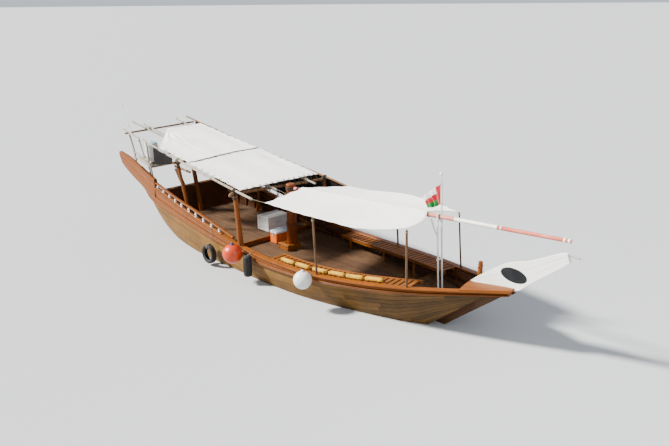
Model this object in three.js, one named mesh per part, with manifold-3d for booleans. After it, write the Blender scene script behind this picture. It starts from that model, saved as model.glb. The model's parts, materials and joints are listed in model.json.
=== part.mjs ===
// A wooden Gulf dhow fitted out for day trips: raked stem with a white plank head, a transom stern
// with wing boards, an awning on poles and a short mast. Millimetres. +X is the bow, +Y is port,
// +Z is up, and the origin is amidships on the waterline.
import * as THREE from "three";
import { mergeVertices } from "three/addons/utils/BufferGeometryUtils.js";
import Module from "manifold-3d";

const wasm = await Module();
wasm.setup();

// driving dimensions
const SHELL = 70; // planking and frames together
const GAP = 0.6; // between pieces that are nailed or lashed together
const KEEL_TOP = -750;
const KEEL_BOTTOM = -950;
const KEEL_HALF = 70;
const STEM_FOOT_X = 5330; // front edge of the stem at the waterline
const STEM_RAKE = 1.245; // forward run of the stem for each unit of height
const STERN_X = -5130; // transom face at the waterline
const STERN_RAKE = -0.772;
const MAIN_DECK_Z = 500;
const AFT_DECK_Z = 640;
const FORE_DECK_Z = 720;
const DECK_BREAK_AFT = -1500;
const DECK_BREAK_FORE = 4150;
const CLOTH = 16;

// x, half breadth at the sheer, sheer height, lower edge of the wale, rabbet height,
// fullness of the section and how square its bilge is; the sheer steps up to the wing boards
const WING_X = -5650;
const CAP_X = -5620;
const LINES = [
  { x: -8360, b: 1266, sheer: 2500, wale: 2410, keel: 700, full: 1, bilge: 4 },
  { x: -8240, b: 1272, sheer: 2492, wale: 2150, keel: 662, full: 1, bilge: 4 },
  { x: -7400, b: 1330, sheer: 2375, wale: 1780, keel: 400, full: 1, bilge: 4 },
  { x: -6450, b: 1420, sheer: 2130, wale: 1500, keel: 60, full: 1, bilge: 3.2 },
  { x: -6150, b: 1450, sheer: 2070, wale: 1270, keel: -4, full: 1, bilge: 3.06 },
  { x: -5750, b: 1487, sheer: 1980, wale: 1135, keel: -92, full: 1, bilge: 2.87 },
  { x: -5650, b: 1496, sheer: 1955, wale: 1118, keel: -110, full: 1, bilge: 2.82 },
  { x: -5620, b: 1498, sheer: 1655, wale: 1114, keel: -116, full: 1, bilge: 2.81 },
  { x: -5500, b: 1508, sheer: 1632, wale: 1103, keel: -136, full: 1, bilge: 2.89 },
  { x: -4800, b: 1560, sheer: 1500, wale: 1050, keel: -250, full: 1, bilge: 3.5 },
  { x: -4000, b: 1610, sheer: 1355, wale: 980, keel: -350, full: 1, bilge: 3.5 },
  { x: -3000, b: 1650, sheer: 1185, wale: 875, keel: -620, full: 0.98, bilge: 3.2 },
  { x: -2000, b: 1680, sheer: 1050, wale: 775, keel: KEEL_TOP, full: 0.95, bilge: 2.9 },
  { x: -1000, b: 1705, sheer: 930, wale: 685, keel: KEEL_TOP, full: 0.93, bilge: 2.7 },
  { x: 250, b: 1715, sheer: 835, wale: 620, keel: KEEL_TOP, full: 0.92, bilge: 2.6 },
  { x: 1500, b: 1680, sheer: 830, wale: 650, keel: KEEL_TOP, full: 0.87, bilge: 2.4 },
  { x: 2600, b: 1570, sheer: 880, wale: 715, keel: KEEL_TOP, full: 0.77, bilge: 2.1 },
  { x: 3600, b: 1370, sheer: 960, wale: 790, keel: KEEL_TOP, full: 0.6, bilge: 2 },
  { x: 4400, b: 1150, sheer: 1040, wale: 875, keel: -700, full: 0.42, bilge: 2 },
  { x: 5000, b: 950, sheer: 1105, wale: 960, keel: -320, full: 0.3, bilge: 2 },
  { x: 5600, b: 730, sheer: 1182, wale: 1060, keel: 180, full: 0.2, bilge: 2 },
  { x: 6200, b: 490, sheer: 1270, wale: 1160, keel: 670, full: 0.12, bilge: 2 },
  { x: 6750, b: 260, sheer: 1352, wale: 1245, keel: 1090, full: 0.06, bilge: 2 },
  { x: 7150, b: 96, sheer: 1408, wale: 1320, keel: 1360, full: 0, bilge: 2 },
];
const BETWEEN = [-6900, -6000, -5200, -3500, -400, 900, 2050, 3100, 4000, 4700, 5300, 5900, 6480];
const STATIONS = [...LINES.map((row) => row.x), ...BETWEEN].sort((a, b) => a - b);

// a faired value between the rows of a table, by a curve through them
function faired(table, x, key) {
  const last = table.length - 1;
  if (x <= table[0].x) return table[0][key];
  if (x >= table[last].x) return table[last][key];
  const i = table.findIndex((row) => row.x > x) - 1;
  const slope = (k) => {
    const [p, q] = [table[Math.max(0, k - 1)], table[Math.min(last, k + 1)]];
    return (q[key] - p[key]) / (q.x - p.x);
  };
  const [a, b] = [table[i], table[i + 1]];
  const run = b.x - a.x;
  const t = (x - a.x) / run;
  const level = (1 + 2 * t) * (1 - t) ** 2 * a[key] + t * t * (3 - 2 * t) * b[key];
  const bent = level + run * (t * (1 - t) ** 2 * slope(i) - t * t * (1 - t) * slope(i + 1));
  return Math.min(Math.max(bent, Math.min(a[key], b[key])), Math.max(a[key], b[key]));
}
// straight between the rows
function straight(table, x, key) {
  const last = table.length - 1;
  if (x <= table[0].x) return table[0][key];
  if (x >= table[last].x) return table[last][key];
  const i = table.findIndex((row) => row.x > x) - 1;
  const [a, b] = [table[i], table[i + 1]];
  return a[key] + ((b[key] - a[key]) * (x - a.x)) / (b.x - a.x);
}
// all the rows that the hull is built on: the edges seen are faired, the rest runs straight
const ROWS = STATIONS.map((x) => {
  const row = { x };
  for (const key of ["b", "sheer", "wale"]) row[key] = faired(LINES, x, key);
  for (const key of ["keel", "full", "bilge"]) row[key] = straight(LINES, x, key);
  return row;
});
const lineAt = (x, key) => straight(ROWS, x, key);
// the height where the side reaches its full breadth runs on aft under the wing boards
const SIDE = [
  { x: -8360, top: 2440 },
  { x: -7400, top: 2120 },
  { x: -6450, top: 1830 },
  { x: CAP_X, top: 1655 },
];
const sideTop = (x) => (x < CAP_X ? straight(SIDE, x, "top") : lineAt(x, "sheer"));

// half breadth of the planking at a height, at one station
function breadthAt(x, z) {
  const keel = lineAt(x, "keel");
  const t = Math.min(1, Math.max(0, (z - keel) / (sideTop(x) - keel)));
  const full = lineAt(x, "full");
  const bilge = lineAt(x, "bilge");
  const curve = (1 - full) * t + full * (1 - (1 - t) ** bilge) ** (1 / bilge);
  const rabbet = Math.min(KEEL_HALF, lineAt(x, "b"));
  return rabbet + (lineAt(x, "b") - rabbet) * curve;
}

// solids
function solid(geometry) {
  const flat = geometry.index ? geometry.toNonIndexed() : geometry;
  const bare = new THREE.BufferGeometry();
  bare.setAttribute("position", flat.getAttribute("position"));
  const merged = mergeVertices(bare, 1e-3);
  const made = new wasm.Manifold(
    new wasm.Mesh({
      numProp: 3,
      vertProperties: new Float32Array(merged.attributes.position.array),
      triVerts: new Uint32Array(merged.index.array),
    }),
  );
  return made.volume() < 0 ? turned(merged) : made;
}

function turned(merged) {
  const tri = new Uint32Array(merged.index.array);
  for (let i = 0; i < tri.length; i += 3) [tri[i + 1], tri[i + 2]] = [tri[i + 2], tri[i + 1]];
  const vertProperties = new Float32Array(merged.attributes.position.array);
  return new wasm.Manifold(new wasm.Mesh({ numProp: 3, vertProperties, triVerts: tri }));
}

const gap3 = (p, q) => Math.hypot(p[0] - q[0], p[1] - q[1], p[2] - q[2]);

// rings of equal, even length, closed at both ends by strips between the ring's two halves
function loft(rings) {
  const points = [];
  const n = rings[0].length;
  const quad = (a, b, c, d) => {
    if (gap3(a, c) <= gap3(b, d)) points.push(...a, ...b, ...c, ...a, ...c, ...d);
    else points.push(...a, ...b, ...d, ...b, ...c, ...d);
  };
  for (let i = 0; i + 1 < rings.length; i++) {
    for (let j = 0; j < n; j++) {
      const k = (j + 1) % n;
      quad(rings[i][j], rings[i][k], rings[i + 1][k], rings[i + 1][j]);
    }
  }
  const [first, last] = [rings[0], rings[rings.length - 1]];
  for (let j = 0; j + 1 < n / 2; j++) {
    const [u, v] = [n - 2 - j, n - 1 - j];
    quad(last[j], last[j + 1], last[u], last[v]);
    quad(first[j], first[v], first[u], first[j + 1]);
  }
  const geometry = new THREE.BufferGeometry();
  geometry.setAttribute("position", new THREE.Float32BufferAttribute(points, 3));
  return solid(geometry);
}

function box(x0, x1, y0, y1, z0, z1) {
  const g = new THREE.BoxGeometry(x1 - x0, y1 - y0, z1 - z0);
  return solid(g.translate((x0 + x1) / 2, (y0 + y1) / 2, (z0 + z1) / 2));
}

// an outline in the XZ plane, as thick as y0 to y1
function plate(outline, y0, y1) {
  const shape = new THREE.Shape(outline.map(([x, z]) => new THREE.Vector2(x, z)));
  const g = new THREE.ExtrudeGeometry(shape, { depth: y1 - y0, bevelEnabled: false, steps: 1 });
  g.rotateX(Math.PI / 2).translate(0, y1, 0);
  return solid(g);
}

// a round timber or pipe between two points, tapering from r0 to r1
function pole(a, b, r0, r1 = r0, sides = 10) {
  const [p, q] = [new THREE.Vector3(...a), new THREE.Vector3(...b)];
  const g = new THREE.CylinderGeometry(r1, r0, p.distanceTo(q), sides, 1);
  const up = new THREE.Vector3(0, 1, 0);
  const along = q.clone().sub(p).normalize();
  g.applyQuaternion(new THREE.Quaternion().setFromUnitVectors(up, along));
  g.translate(...p.add(q).multiplyScalar(0.5).toArray());
  return solid(g);
}

// a bent round timber through a row of points
function bough(points, r0, r1 = r0, sides = 8) {
  const p = points.map((v) => new THREE.Vector3(...v));
  const last = p.length - 1;
  return loft(
    p.map((v, i) => {
      const along = p[Math.min(i + 1, last)].clone().sub(p[Math.max(i - 1, 0)]).normalize();
      const level = Math.abs(along.z) > 0.9 ? new THREE.Vector3(1, 0, 0) : new THREE.Vector3(0, 0, 1);
      const u = level.cross(along).normalize();
      const w = along.clone().cross(u);
      const r = r0 + ((r1 - r0) * i) / last;
      return Array.from({ length: sides }, (_, k) => {
        const turn = (2 * Math.PI * (k + 0.5)) / sides;
        const out = v.clone().addScaledVector(u, r * Math.cos(turn));
        return out.addScaledVector(w, r * Math.sin(turn)).toArray();
      });
    }),
  );
}

// a turned shape between two points: [radius, share of the way]
function spun(profile, a, b, sides = 12) {
  const [p, q] = [new THREE.Vector3(...a), new THREE.Vector3(...b)];
  const long = p.distanceTo(q);
  const g = new THREE.LatheGeometry(profile.map(([r, t]) => new THREE.Vector2(r, t * long)), sides);
  const along = q.clone().sub(p).normalize();
  g.applyQuaternion(new THREE.Quaternion().setFromUnitVectors(new THREE.Vector3(0, 1, 0), along));
  return solid(g.translate(...a));
}

// a turned shape on a vertical axis: [radius, height] from the bottom up
function turnedShape(profile, x, y, z, sides = 10) {
  const g = new THREE.LatheGeometry(profile.map(([r, h]) => new THREE.Vector2(r, h)), sides);
  return solid(g.rotateX(Math.PI / 2).translate(x, y, z));
}

const joined = (list) => list.reduce((a, b) => a.add(b));
const mirrored = (s) => s.mirror([0, 1, 0]);

const part = new THREE.Group();
part.name = "dhow";
const made = {};

function add(name, s, colour) {
  const m = s.getMesh();
  const positions = new Float32Array(m.numVert * 3);
  for (let i = 0; i < m.numVert; i++) {
    for (let k = 0; k < 3; k++) positions[i * 3 + k] = m.vertProperties[i * m.numProp + k];
  }
  const g = new THREE.BufferGeometry();
  g.setAttribute("position", new THREE.BufferAttribute(positions, 3));
  g.setIndex(new THREE.BufferAttribute(new Uint32Array(m.triVerts), 1));
  g.computeVertexNormals();
  const mesh = new THREE.Mesh(g, new THREE.MeshStandardMaterial({ color: colour, flatShading: true }));
  mesh.name = name;
  part.add(mesh);
  made[name] = s;
  return s;
}

const WOOD = 0xa8602c;
const TAN = 0xb59a6c;
const DARK = 0x4a2a1c;
const WHITE = 0xf2f0ea;

// hull
// the body of the hull, drawn in by "inset" from the planking's outer face
function hullBody(inset, top = 0) {
  const levels = [0, 0.012, 0.04, 0.09, 0.17, 0.28, 0.42, 0.58, 0.8, 1];
  return loft(
    STATIONS.map((x) => {
      const keel = lineAt(x, "keel") + inset;
      const sheer = lineAt(x, "sheer");
      const side = levels.map((t) => {
        const z = keel + (sheer - keel) * t;
        return [x, Math.max(6, breadthAt(x, z) - inset), z];
      });
      if (top) side.push([x, side[side.length - 1][1], sheer + top]);
      return [...side, ...side.map(([sx, sy, sz]) => [sx, -sy, sz]).reverse()];
    }),
  );
}

// everything forward of a raked line, or aft of it
function ahead(x0, rake, far = 20000) {
  const [lo, hi] = [-3000, 5000];
  const line = [[x0 + rake * lo, lo], [x0 + far, lo], [x0 + far, hi], [x0 + rake * hi, hi]];
  return plate(line, -4000, 4000);
}

function behind(x0, rake, far = 20000) {
  const [lo, hi] = [-3000, 5000];
  const line = [[x0 + rake * lo, lo], [x0 - far, lo], [x0 - far, hi], [x0 + rake * hi, hi]];
  return plate(line, -4000, 4000);
}

const SHAFT = { x: -4010, z: -650, rise: 0.15 }; // propeller centre and the slope of its shaft
const PROPELLER_R = 215;
const APERTURE = { x0: -4180, x1: -3860, z0: -890, z1: -200 };
const onShaft = (x) => [x, 0, SHAFT.z + (x - SHAFT.x) * SHAFT.rise];
const shaftBore = pole(onShaft(-4400), onShaft(-2500), 36, 36, 12);
const STEM_DEPTH = 300; // fore and aft, measured level
const TRANSOM_THICK = 75;
const TRANSOM_TOP = 1420;
// the frames inside the transom, no higher than it
const sternFrames = (x0) => behind(x0, STERN_RAKE).intersect(box(-9500, 0, -3000, 3000, -3000, TRANSOM_TOP));

const SAMSON = { x: 6050, y: 215, r: 60, foot: 960 }; // bow bollard, its foot bedded in the timber behind the stem

const outside = hullBody(0);
const swollen = hullBody(-GAP);
const inside = hullBody(SHELL, 1500)
  .subtract(sternFrames(STERN_X + 220))
  .subtract(ahead(STEM_FOOT_X - STEM_DEPTH - 260, STEM_RAKE));
const insideFit = hullBody(SHELL + 2, 1500)
  .subtract(sternFrames(STERN_X + 222))
  .subtract(ahead(STEM_FOOT_X - STEM_DEPTH - 262, STEM_RAKE));

const walls = swollen.subtract(insideFit);

// rudder irons
const postFace = (z) => STERN_X + STERN_RAKE * z;
const AXIS_OFF = 40; // hinge axis aft of the sternpost face, measured level
const axisX = (z) => postFace(z) - AXIS_OFF;
const AXIS_SIDE = AXIS_OFF / Math.hypot(1, STERN_RAKE); // the same, measured square to the axis
const EYE_HIGH = 60;
// a shape made about an upright axis, leant onto the hinge axis at a height
function onHinge(s, z) {
  const g = new THREE.Matrix4().makeRotationY(Math.atan(STERN_RAKE));
  g.setPosition(axisX(z), 0, z);
  return s.transform(g.elements);
}
// eye with its bracket, as wide as the eye and let into the post
function gudgeon(z) {
  const eye = pole([0, 0, -EYE_HIGH / 2], [0, 0, EYE_HIGH / 2], 25, 25, 16);
  const bracket = box(2, AXIS_SIDE + 34, -25.5, 25.5, -EYE_HIGH / 2, EYE_HIGH / 2);
  const bore = pole([0, 0, -EYE_HIGH], [0, 0, EYE_HIGH], 17, 17, 16);
  return onHinge(eye.add(bracket).subtract(bore), z);
}
// pin and strap, on the rudder
function pintle(z) {
  const pin = pole([0, 0, -EYE_HIGH / 2 - 14], [0, 0, EYE_HIGH / 2 + 30], 11, 11, 12);
  const arm = box(-AXIS_SIDE - 60, 11, -13, 13, EYE_HIGH / 2 + 6, EYE_HIGH / 2 + 34);
  const strap = box(-AXIS_SIDE - 300, -AXIS_SIDE - 5, -36, 36, EYE_HIGH / 2 + 6, EYE_HIGH / 2 + 34);
  return onHinge(joined([pin, arm, strap]), z);
}

add(
  "hull_shell",
  outside
    .subtract(inside)
    .subtract(behind(STERN_X + TRANSOM_THICK + GAP, STERN_RAKE))
    .subtract(ahead(STEM_FOOT_X - STEM_DEPTH - GAP, STEM_RAKE))
    .subtract(shaftBore)
    .subtract(pole([SAMSON.x, SAMSON.y, SAMSON.foot - 2], [SAMSON.x, SAMSON.y, 2500], SAMSON.r + 2, SAMSON.r + 2, 12)),
  TAN,
);

add(
  "transom",
  outside
    .subtract(behind(STERN_X, STERN_RAKE))
    .subtract(ahead(STERN_X + TRANSOM_THICK, STERN_RAKE))
    .subtract(box(-9000, 0, -3000, 3000, TRANSOM_TOP, 4000))
    .add(gudgeon(1130))
    .add(gudgeon(330)),
  TAN,
);

// backbone

add(
  "keel",
  plate(
    [
      [STEM_FOOT_X + STEM_RAKE * KEEL_BOTTOM - 150, KEEL_BOTTOM],
      [STEM_FOOT_X + STEM_RAKE * KEEL_TOP - STEM_DEPTH - 1, KEEL_TOP - GAP],
      [-1500, KEEL_TOP - GAP],
      [-3000, 100],
      [postFace(100) + 140, 100],
      [postFace(40), 40],
      [postFace(KEEL_BOTTOM), KEEL_BOTTOM],
    ],
    -KEEL_HALF,
    KEEL_HALF,
  )
    .subtract(swollen)
    .subtract(box(APERTURE.x0, APERTURE.x1, -200, 200, APERTURE.z0, APERTURE.z1))
    .subtract(shaftBore)
    .add(gudgeon(-560)),
  DARK,
);

// stem
const stemFront = (z) => STEM_FOOT_X + STEM_RAKE * z;
add(
  "stem_post",
  plate(
    [
      [stemFront(KEEL_BOTTOM) - 140, KEEL_BOTTOM],
      [stemFront(KEEL_BOTTOM) + 40, KEEL_BOTTOM + 60],
      [stemFront(1385) - 5, 1385],
      [stemFront(1265) - STEM_DEPTH, 1265],
      [stemFront(KEEL_TOP) - STEM_DEPTH, KEEL_TOP],
    ],
    -68,
    68,
  ),
  DARK,
);

// the varnished three-cornered deck over the bow, on the cap rails, "grow" larger all round
const CAP = 42;
const HOOK_X = [5930, ...STATIONS.filter((x) => x > 6070 && x < 7130), 7130];
function breasthook(grow = 0) {
  return loft(
    HOOK_X.map((x, i) => {
      const across = (u, high) => {
        const fore = x + (i ? 0 : 130) * Math.abs(u);
        const w = lineAt(fore, "b") + 80 + grow;
        return [fore, w * u, lineAt(fore, "sheer") + CAP + 1 + high];
      };
      const crown = [-1, -0.5, 0, 0.5, 1].map((u) => across(u, 28 + 30 * (1 - Math.abs(u) ** 1.6) + grow));
      return [...crown, ...[1, 0, -1].map((u) => across(u, -40 * grow))];
    }),
  );
}
const bittHole = pole([SAMSON.x, SAMSON.y, SAMSON.foot - 2], [SAMSON.x, SAMSON.y, 2500], SAMSON.r + 2, SAMSON.r + 2, 12);
add("bow_deck", breasthook().subtract(bittHole), WOOD);

// the white plank head that stands on it
add(
  "stem_head",
  plate(
    [
      [5985, 1345],
      [6800, 1410],
      [7190, 1455],
      [7480, 1700],
      [7780, 1950],
      [8110, 2220],
      [8335, 2420],
      [8262, 2605],
      [8090, 2566],
      [7680, 2350],
      [7390, 2205],
      [7030, 2085],
      [6780, 1970],
      [6380, 1685],
      [6150, 1510],
    ],
    -55,
    55,
  )
    .subtract(breasthook(1.2))
    .add(pole([8170, 0, 2566], [8515, 0, 2558], 13, 11, 8)), // iron rod out of the tip
  WHITE,
);

// wales, caps and wings
const WALE_THICK = 62;
function wale() {
  const rows = ROWS.filter((row) => row.x < 7000);
  return loft(
    rows.map(({ x, b, sheer, wale: low }) => {
      const lowY = Math.max(breadthAt(x, low), b - 260);
      const step = low + (sheer - low) * 0.47;
      const stepY = Math.max(breadthAt(x, step), b - 150);
      const [ledge, top] = [x <= WING_X ? 4 : 30, sheer - 4];
      return [
        [x, -(lowY - 45), low],
        [x, -(lowY + WALE_THICK - 14), low],
        [x, -(lowY + WALE_THICK + 6), low + 26],
        [x, -(stepY + WALE_THICK + 10), step - 10],
        [x, -(stepY + WALE_THICK + 8 - ledge), step + 8],
        [x, -(b + 44), top],
        [x, -(b - 45), top],
        [x, -(stepY - 45), step],
      ];
    }),
  );
}
const hullTrim = swollen.subtract(behind(STERN_X - GAP, STERN_RAKE));
add("wale_starboard", wale().subtract(hullTrim), WOOD);
add("wale_port", mirrored(made.wale_starboard), WOOD);

function cap() {
  const rows = ROWS.filter((row) => row.x < 7000 && row.x >= CAP_X);
  return loft(
    rows.map(({ x, b, sheer }) => [
      [x, -(b - 105), sheer + GAP],
      [x, -(b + 85), sheer + GAP],
      [x, -(b + 85), sheer + CAP],
      [x, -(b - 105), sheer + CAP],
    ]),
  ).subtract(box(6000, 8000, -75, 3000, -1000, 4000));
}
// what stands on the rail is cut off along its top
function footing(rows, top) {
  return loft(
    rows.map(({ x, b, sheer }) => [
      [x, -(b - 400), sheer - 900],
      [x, -(b + 400), sheer - 900],
      [x, -(b + 400), sheer + top],
      [x, -(b - 400), sheer + top],
    ]),
  );
}
const railTop = footing(ROWS.filter((row) => row.x >= CAP_X), CAP + 1).add(
  footing(ROWS.filter((row) => row.x <= WING_X), 1),
);
const bothTops = railTop.add(mirrored(railTop));
const standing = (s) => s.subtract(bothTops);

add("cap_starboard", cap(), WOOD);
add("cap_port", mirrored(made.cap_starboard), WOOD);

// decks
const DECK_THICK = 45;
function deck(x0, x1, z) {
  return insideFit.intersect(box(x0, x1, -3000, 3000, z - DECK_THICK, z));
}
// a bulkhead carries the raised deck's open edge, from the main deck up into its planks
function bulkhead(x0, x1, z) {
  return insideFit.intersect(box(x0, x1, -3000, 3000, MAIN_DECK_Z + GAP, z - 10));
}
add(
  "deck_aft",
  deck(-7000, DECK_BREAK_AFT, AFT_DECK_Z).add(
    bulkhead(DECK_BREAK_AFT - 70, DECK_BREAK_AFT - 20, AFT_DECK_Z),
  ),
  WOOD,
);
add("deck_main", deck(DECK_BREAK_AFT - 60, DECK_BREAK_FORE + 60, MAIN_DECK_Z), WOOD);
add(
  "deck_fore",
  deck(DECK_BREAK_FORE, 8000, FORE_DECK_Z).add(
    bulkhead(DECK_BREAK_FORE + 20, DECK_BREAK_FORE + 70, FORE_DECK_Z),
  ),
  WOOD,
);

// slatted side benches, level with the rail
const BENCH = { x0: 520, x1: 4880, out: 112, in: 590, thick: 22 };
const benchTop = (x) => lineAt(x, "sheer") + CAP - 8;
const BENCH_X = [BENCH.x0, ...STATIONS.filter((x) => x > BENCH.x0 && x < BENCH.x1), BENCH.x1];
const LEGS = [
  { x: 900, deck: MAIN_DECK_Z },
  { x: 2300, deck: MAIN_DECK_Z },
  { x: 3600, deck: MAIN_DECK_Z },
  { x: 4600, deck: FORE_DECK_Z },
];
function bench() {
  const board = (a, b, high, low) =>
    loft(
      BENCH_X.map((x) => {
        const [y, top] = [lineAt(x, "b"), benchTop(x)];
        return [
          [x, -(y - a), top - low],
          [x, -(y - b), top - low],
          [x, -(y - b), top - high],
          [x, -(y - a), top - high],
        ];
      }),
    );
  const legs = LEGS.map(({ x, deck: foot }) => {
    const y = lineAt(x, "b");
    return box(x - 30, x + 30, -(y - BENCH.in + 52), -(y - BENCH.in + 2), foot + 1, benchTop(x) - 50);
  });
  const { out, in: inner, thick } = BENCH;
  return joined([board(inner, out, 0, thick), board(inner - 5, inner - 55, thick - 5, 85), ...legs]);
}
add("bench_starboard", bench(), WOOD);
add("bench_port", mirrored(made.bench_starboard), WOOD);

// yellow bolsters threaded on a line along the starboard bench
const BOLSTERS = [1150, 1710, 2320, 2850, 3380, 3920];
const BOLSTER = { r: 58, long: 480, rim: 172 };
const bolsterAt = (x) => [x, -(lineAt(x, "b") - BOLSTER.rim), benchTop(x) + BOLSTER.r + 5];
function bolsters() {
  const rolls = BOLSTERS.map((x) =>
    spun(
      [[0, 0], [38, 0], [BOLSTER.r, 0.09], [BOLSTER.r, 0.91], [38, 1], [0, 1]],
      bolsterAt(x - BOLSTER.long / 2),
      bolsterAt(x + BOLSTER.long / 2),
      10,
    ),
  );
  const line = bough([BOLSTERS[0] - 200, ...BOLSTERS, BOLSTERS[5] + 200].map(bolsterAt), 9, 9, 6);
  return joined([line, ...rolls]);
}
add("bolsters", bolsters(), 0xd9a62e);

// balustrade
const BALUSTERS = [-5510, -5110, -4700, -4320, -3920, -3490, -3080, -2650, -2210, -1800];
const RAIL = [
  { x: -5660, top: 1880 },
  { x: -5280, top: 1815 },
  { x: -4640, top: 1705 },
  { x: -3900, top: 1590 },
  { x: -2970, top: 1455 },
  { x: -1940, top: 1275 },
  { x: -1060, top: 1120 },
];
const RAIL_THICK = 46;
const railZ = (x) => faired(RAIL, x, "top");
const SILL = 22;
function balusterRow() {
  const sill = loft(
    [-5590, ...STATIONS.filter((x) => x > -5590 && x < -1650), -1650].map((x) => {
      const [b, z] = [lineAt(x, "b"), lineAt(x, "sheer") + CAP];
      return [[x, -(b - 55), z + GAP], [x, -(b + 25), z + GAP], [x, -(b + 25), z + SILL], [x, -(b - 55), z + SILL]];
    }),
  );
  const turns = BALUSTERS.map((x) => {
    const base = lineAt(x, "sheer") + CAP + 12;
    const tall = Math.min(railZ(x + 34), railZ(x - 34)) - RAIL_THICK - base - 3;
    const y = -(lineAt(x, "b") - 15);
    return turnedShape(
      [[0, 0], [36, 0], [20, 30], [36, tall * 0.55], [18, tall * 0.85], [34, tall], [0, tall]],
      x,
      y,
      base,
      6,
    );
  });
  return joined([sill, ...turns]);
}
function rail() {
  return loft(
    [-5612, -5200, -4600, -4000, -3400, -2800, -2200, -1600, -1060].map((x) => {
      const [b, z] = [lineAt(x, "b"), railZ(x)];
      return [
        [x, -(b - 58), z - RAIL_THICK],
        [x, -(b + 28), z - RAIL_THICK],
        [x, -(b + 36), z],
        [x, -(b - 66), z],
      ];
    }),
  );
}
add("balusters_starboard", balusterRow(), WHITE);
add("balusters_port", mirrored(made.balusters_starboard), WHITE);
add("rail_starboard", rail(), WOOD);
add("rail_port", mirrored(made.rail_starboard), WOOD);

// awning frame
// crooked poles along the awnings' edges, at their centre lines; y is the distance from the centre
const NEAR_POLE = [
  { x: -6480, y: 1360, z: 3187 },
  { x: -5640, y: 1400, z: 3045 },
  { x: -4050, y: 1540, z: 2890 },
  { x: -3260, y: 1600, z: 2800 },
  { x: -830, y: 1730, z: 2545 },
  { x: 20, y: 1780, z: 2470 },
];
const FAR_POLE = [
  { x: -7950, y: 1300, z: 3490 },
  { x: -6580, y: 1400, z: 3240 },
  { x: -4050, y: 1555, z: 2785 },
  { x: -830, y: 1730, z: 2330 },
  { x: 340, y: 1750, z: 2150 },
];
const POLE_R = 32;
const BEAM_R = 46;
add("edge_pole_starboard", bough(NEAR_POLE.map((p) => [p.x, -p.y, p.z]), 28, POLE_R), WOOD);
add("edge_pole_port", bough(FAR_POLE.map((p) => [p.x, p.y, p.z]), 27, POLE_R), WOOD);

// cross beams under the poles: height of the centre line at y
const midZ = (y) => 2353 - 0.0621 * y;
const aftZ = (y) => 2754 - 0.0339 * y;
const barZ = (y) => 3275 + 0.02 * y;
const MID_X = -840;
const AFT_X = -4050;
const BAR_X = -7640;
const midBeam = [[MID_X, -1885, 2385], [MID_X, -1765, midZ(-1765)], [MID_X - 20, 1850, midZ(1850)]];
add("beam_mid", bough(midBeam, BEAM_R, BEAM_R), WOOD);
add("beam_aft", pole([AFT_X, -1705, aftZ(-1705)], [AFT_X, 1710, aftZ(1710)], BEAM_R), WOOD);

// battens along the boat, notched onto the stern bar and lying on the two beams
const BATTENS = [
  { y: -560, tip: -8630, tipZ: 3440, end: -420 },
  { y: -400, tip: -8060, tipZ: 3395, end: -3880 },
  { y: 950, tip: -8100, tipZ: 3448, end: -420 },
];
const BATTEN_R = 30;
function battens() {
  const bar = pole([BAR_X + 40, -1420, barZ(-1420)], [BAR_X - 50, 1420, barZ(1420)], POLE_R);
  const rods = BATTENS.map(({ y, tip, tipZ, end }) => {
    const on = BEAM_R + BATTEN_R + 3;
    const [aft, mid] = [aftZ(y) + on, midZ(y) + on];
    const line = [[tip, y, tipZ], [BAR_X, y, barZ(y) + 46], [AFT_X, y, aft]];
    if (end > MID_X) line.push([MID_X - 10, y, mid]);
    const past = (end - (end > MID_X ? MID_X - 10 : AFT_X)) * 0.121;
    return bough([...line, [end, y, (end > MID_X ? mid : aft) - past]], 26, BATTEN_R);
  });
  const stub = pole([-7930, -1300, 3357], [-6840, -1300, 3160], 28, 30, 8);
  return joined([bar, ...rods, stub]);
}
add("awning_battens", battens(), WOOD);

// posts
function midPost(side, foot, head) {
  const top = midZ(side * head) - BEAM_R - 12;
  return standing(pole([-715, side * foot, 700], [MID_X, side * head, top], 80, 66, 12));
}
add("post_mid_starboard", midPost(-1, 1690, 1710), WOOD);
add("post_mid_port", midPost(1, 1678, 1688), WOOD);
// from the aft deck, inside the balustrade, up to the aft beam
function aftPost(side, head) {
  const points = [
    [-3830, side * 1290, AFT_DECK_Z - 60],
    [-3850, side * 1405, 1250],
    [AFT_X, side * head, aftZ(side * head) - BEAM_R - 14],
  ];
  const s = bough(points, 60, 50, 12);
  return s.subtract(box(-5000, -3000, -3000, 3000, 0, AFT_DECK_Z + 1)).subtract(walls);
}
add("post_aft_starboard", aftPost(-1, 1540), WOOD);
add("post_aft_port", aftPost(1, 1490), WOOD);
// thin stakes on the rail that hold the fore awning's edges
const STAKES = [
  { name: "stake_mid_starboard", x: 2370, y: -1590, topY: -1695, top: 2430, r: 30 },
  { name: "stake_mid_port", x: 2360, y: 1580, topY: 1450, top: 2440, r: 28 },
  { name: "stake_fore_starboard", x: 4850, y: -1000, topY: -1045, top: 2555, r: 30 },
  { name: "stake_fore_port", x: 5035, y: 890, topY: 700, top: 2640, r: 22 },
];
for (const { name, x, y, topY, top, r } of STAKES) {
  const foot = [x, y, lineAt(x, "sheer") - 60];
  add(name, standing(pole(foot, [x, topY, top], r, r - 3, 8)), WOOD);
}
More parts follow.
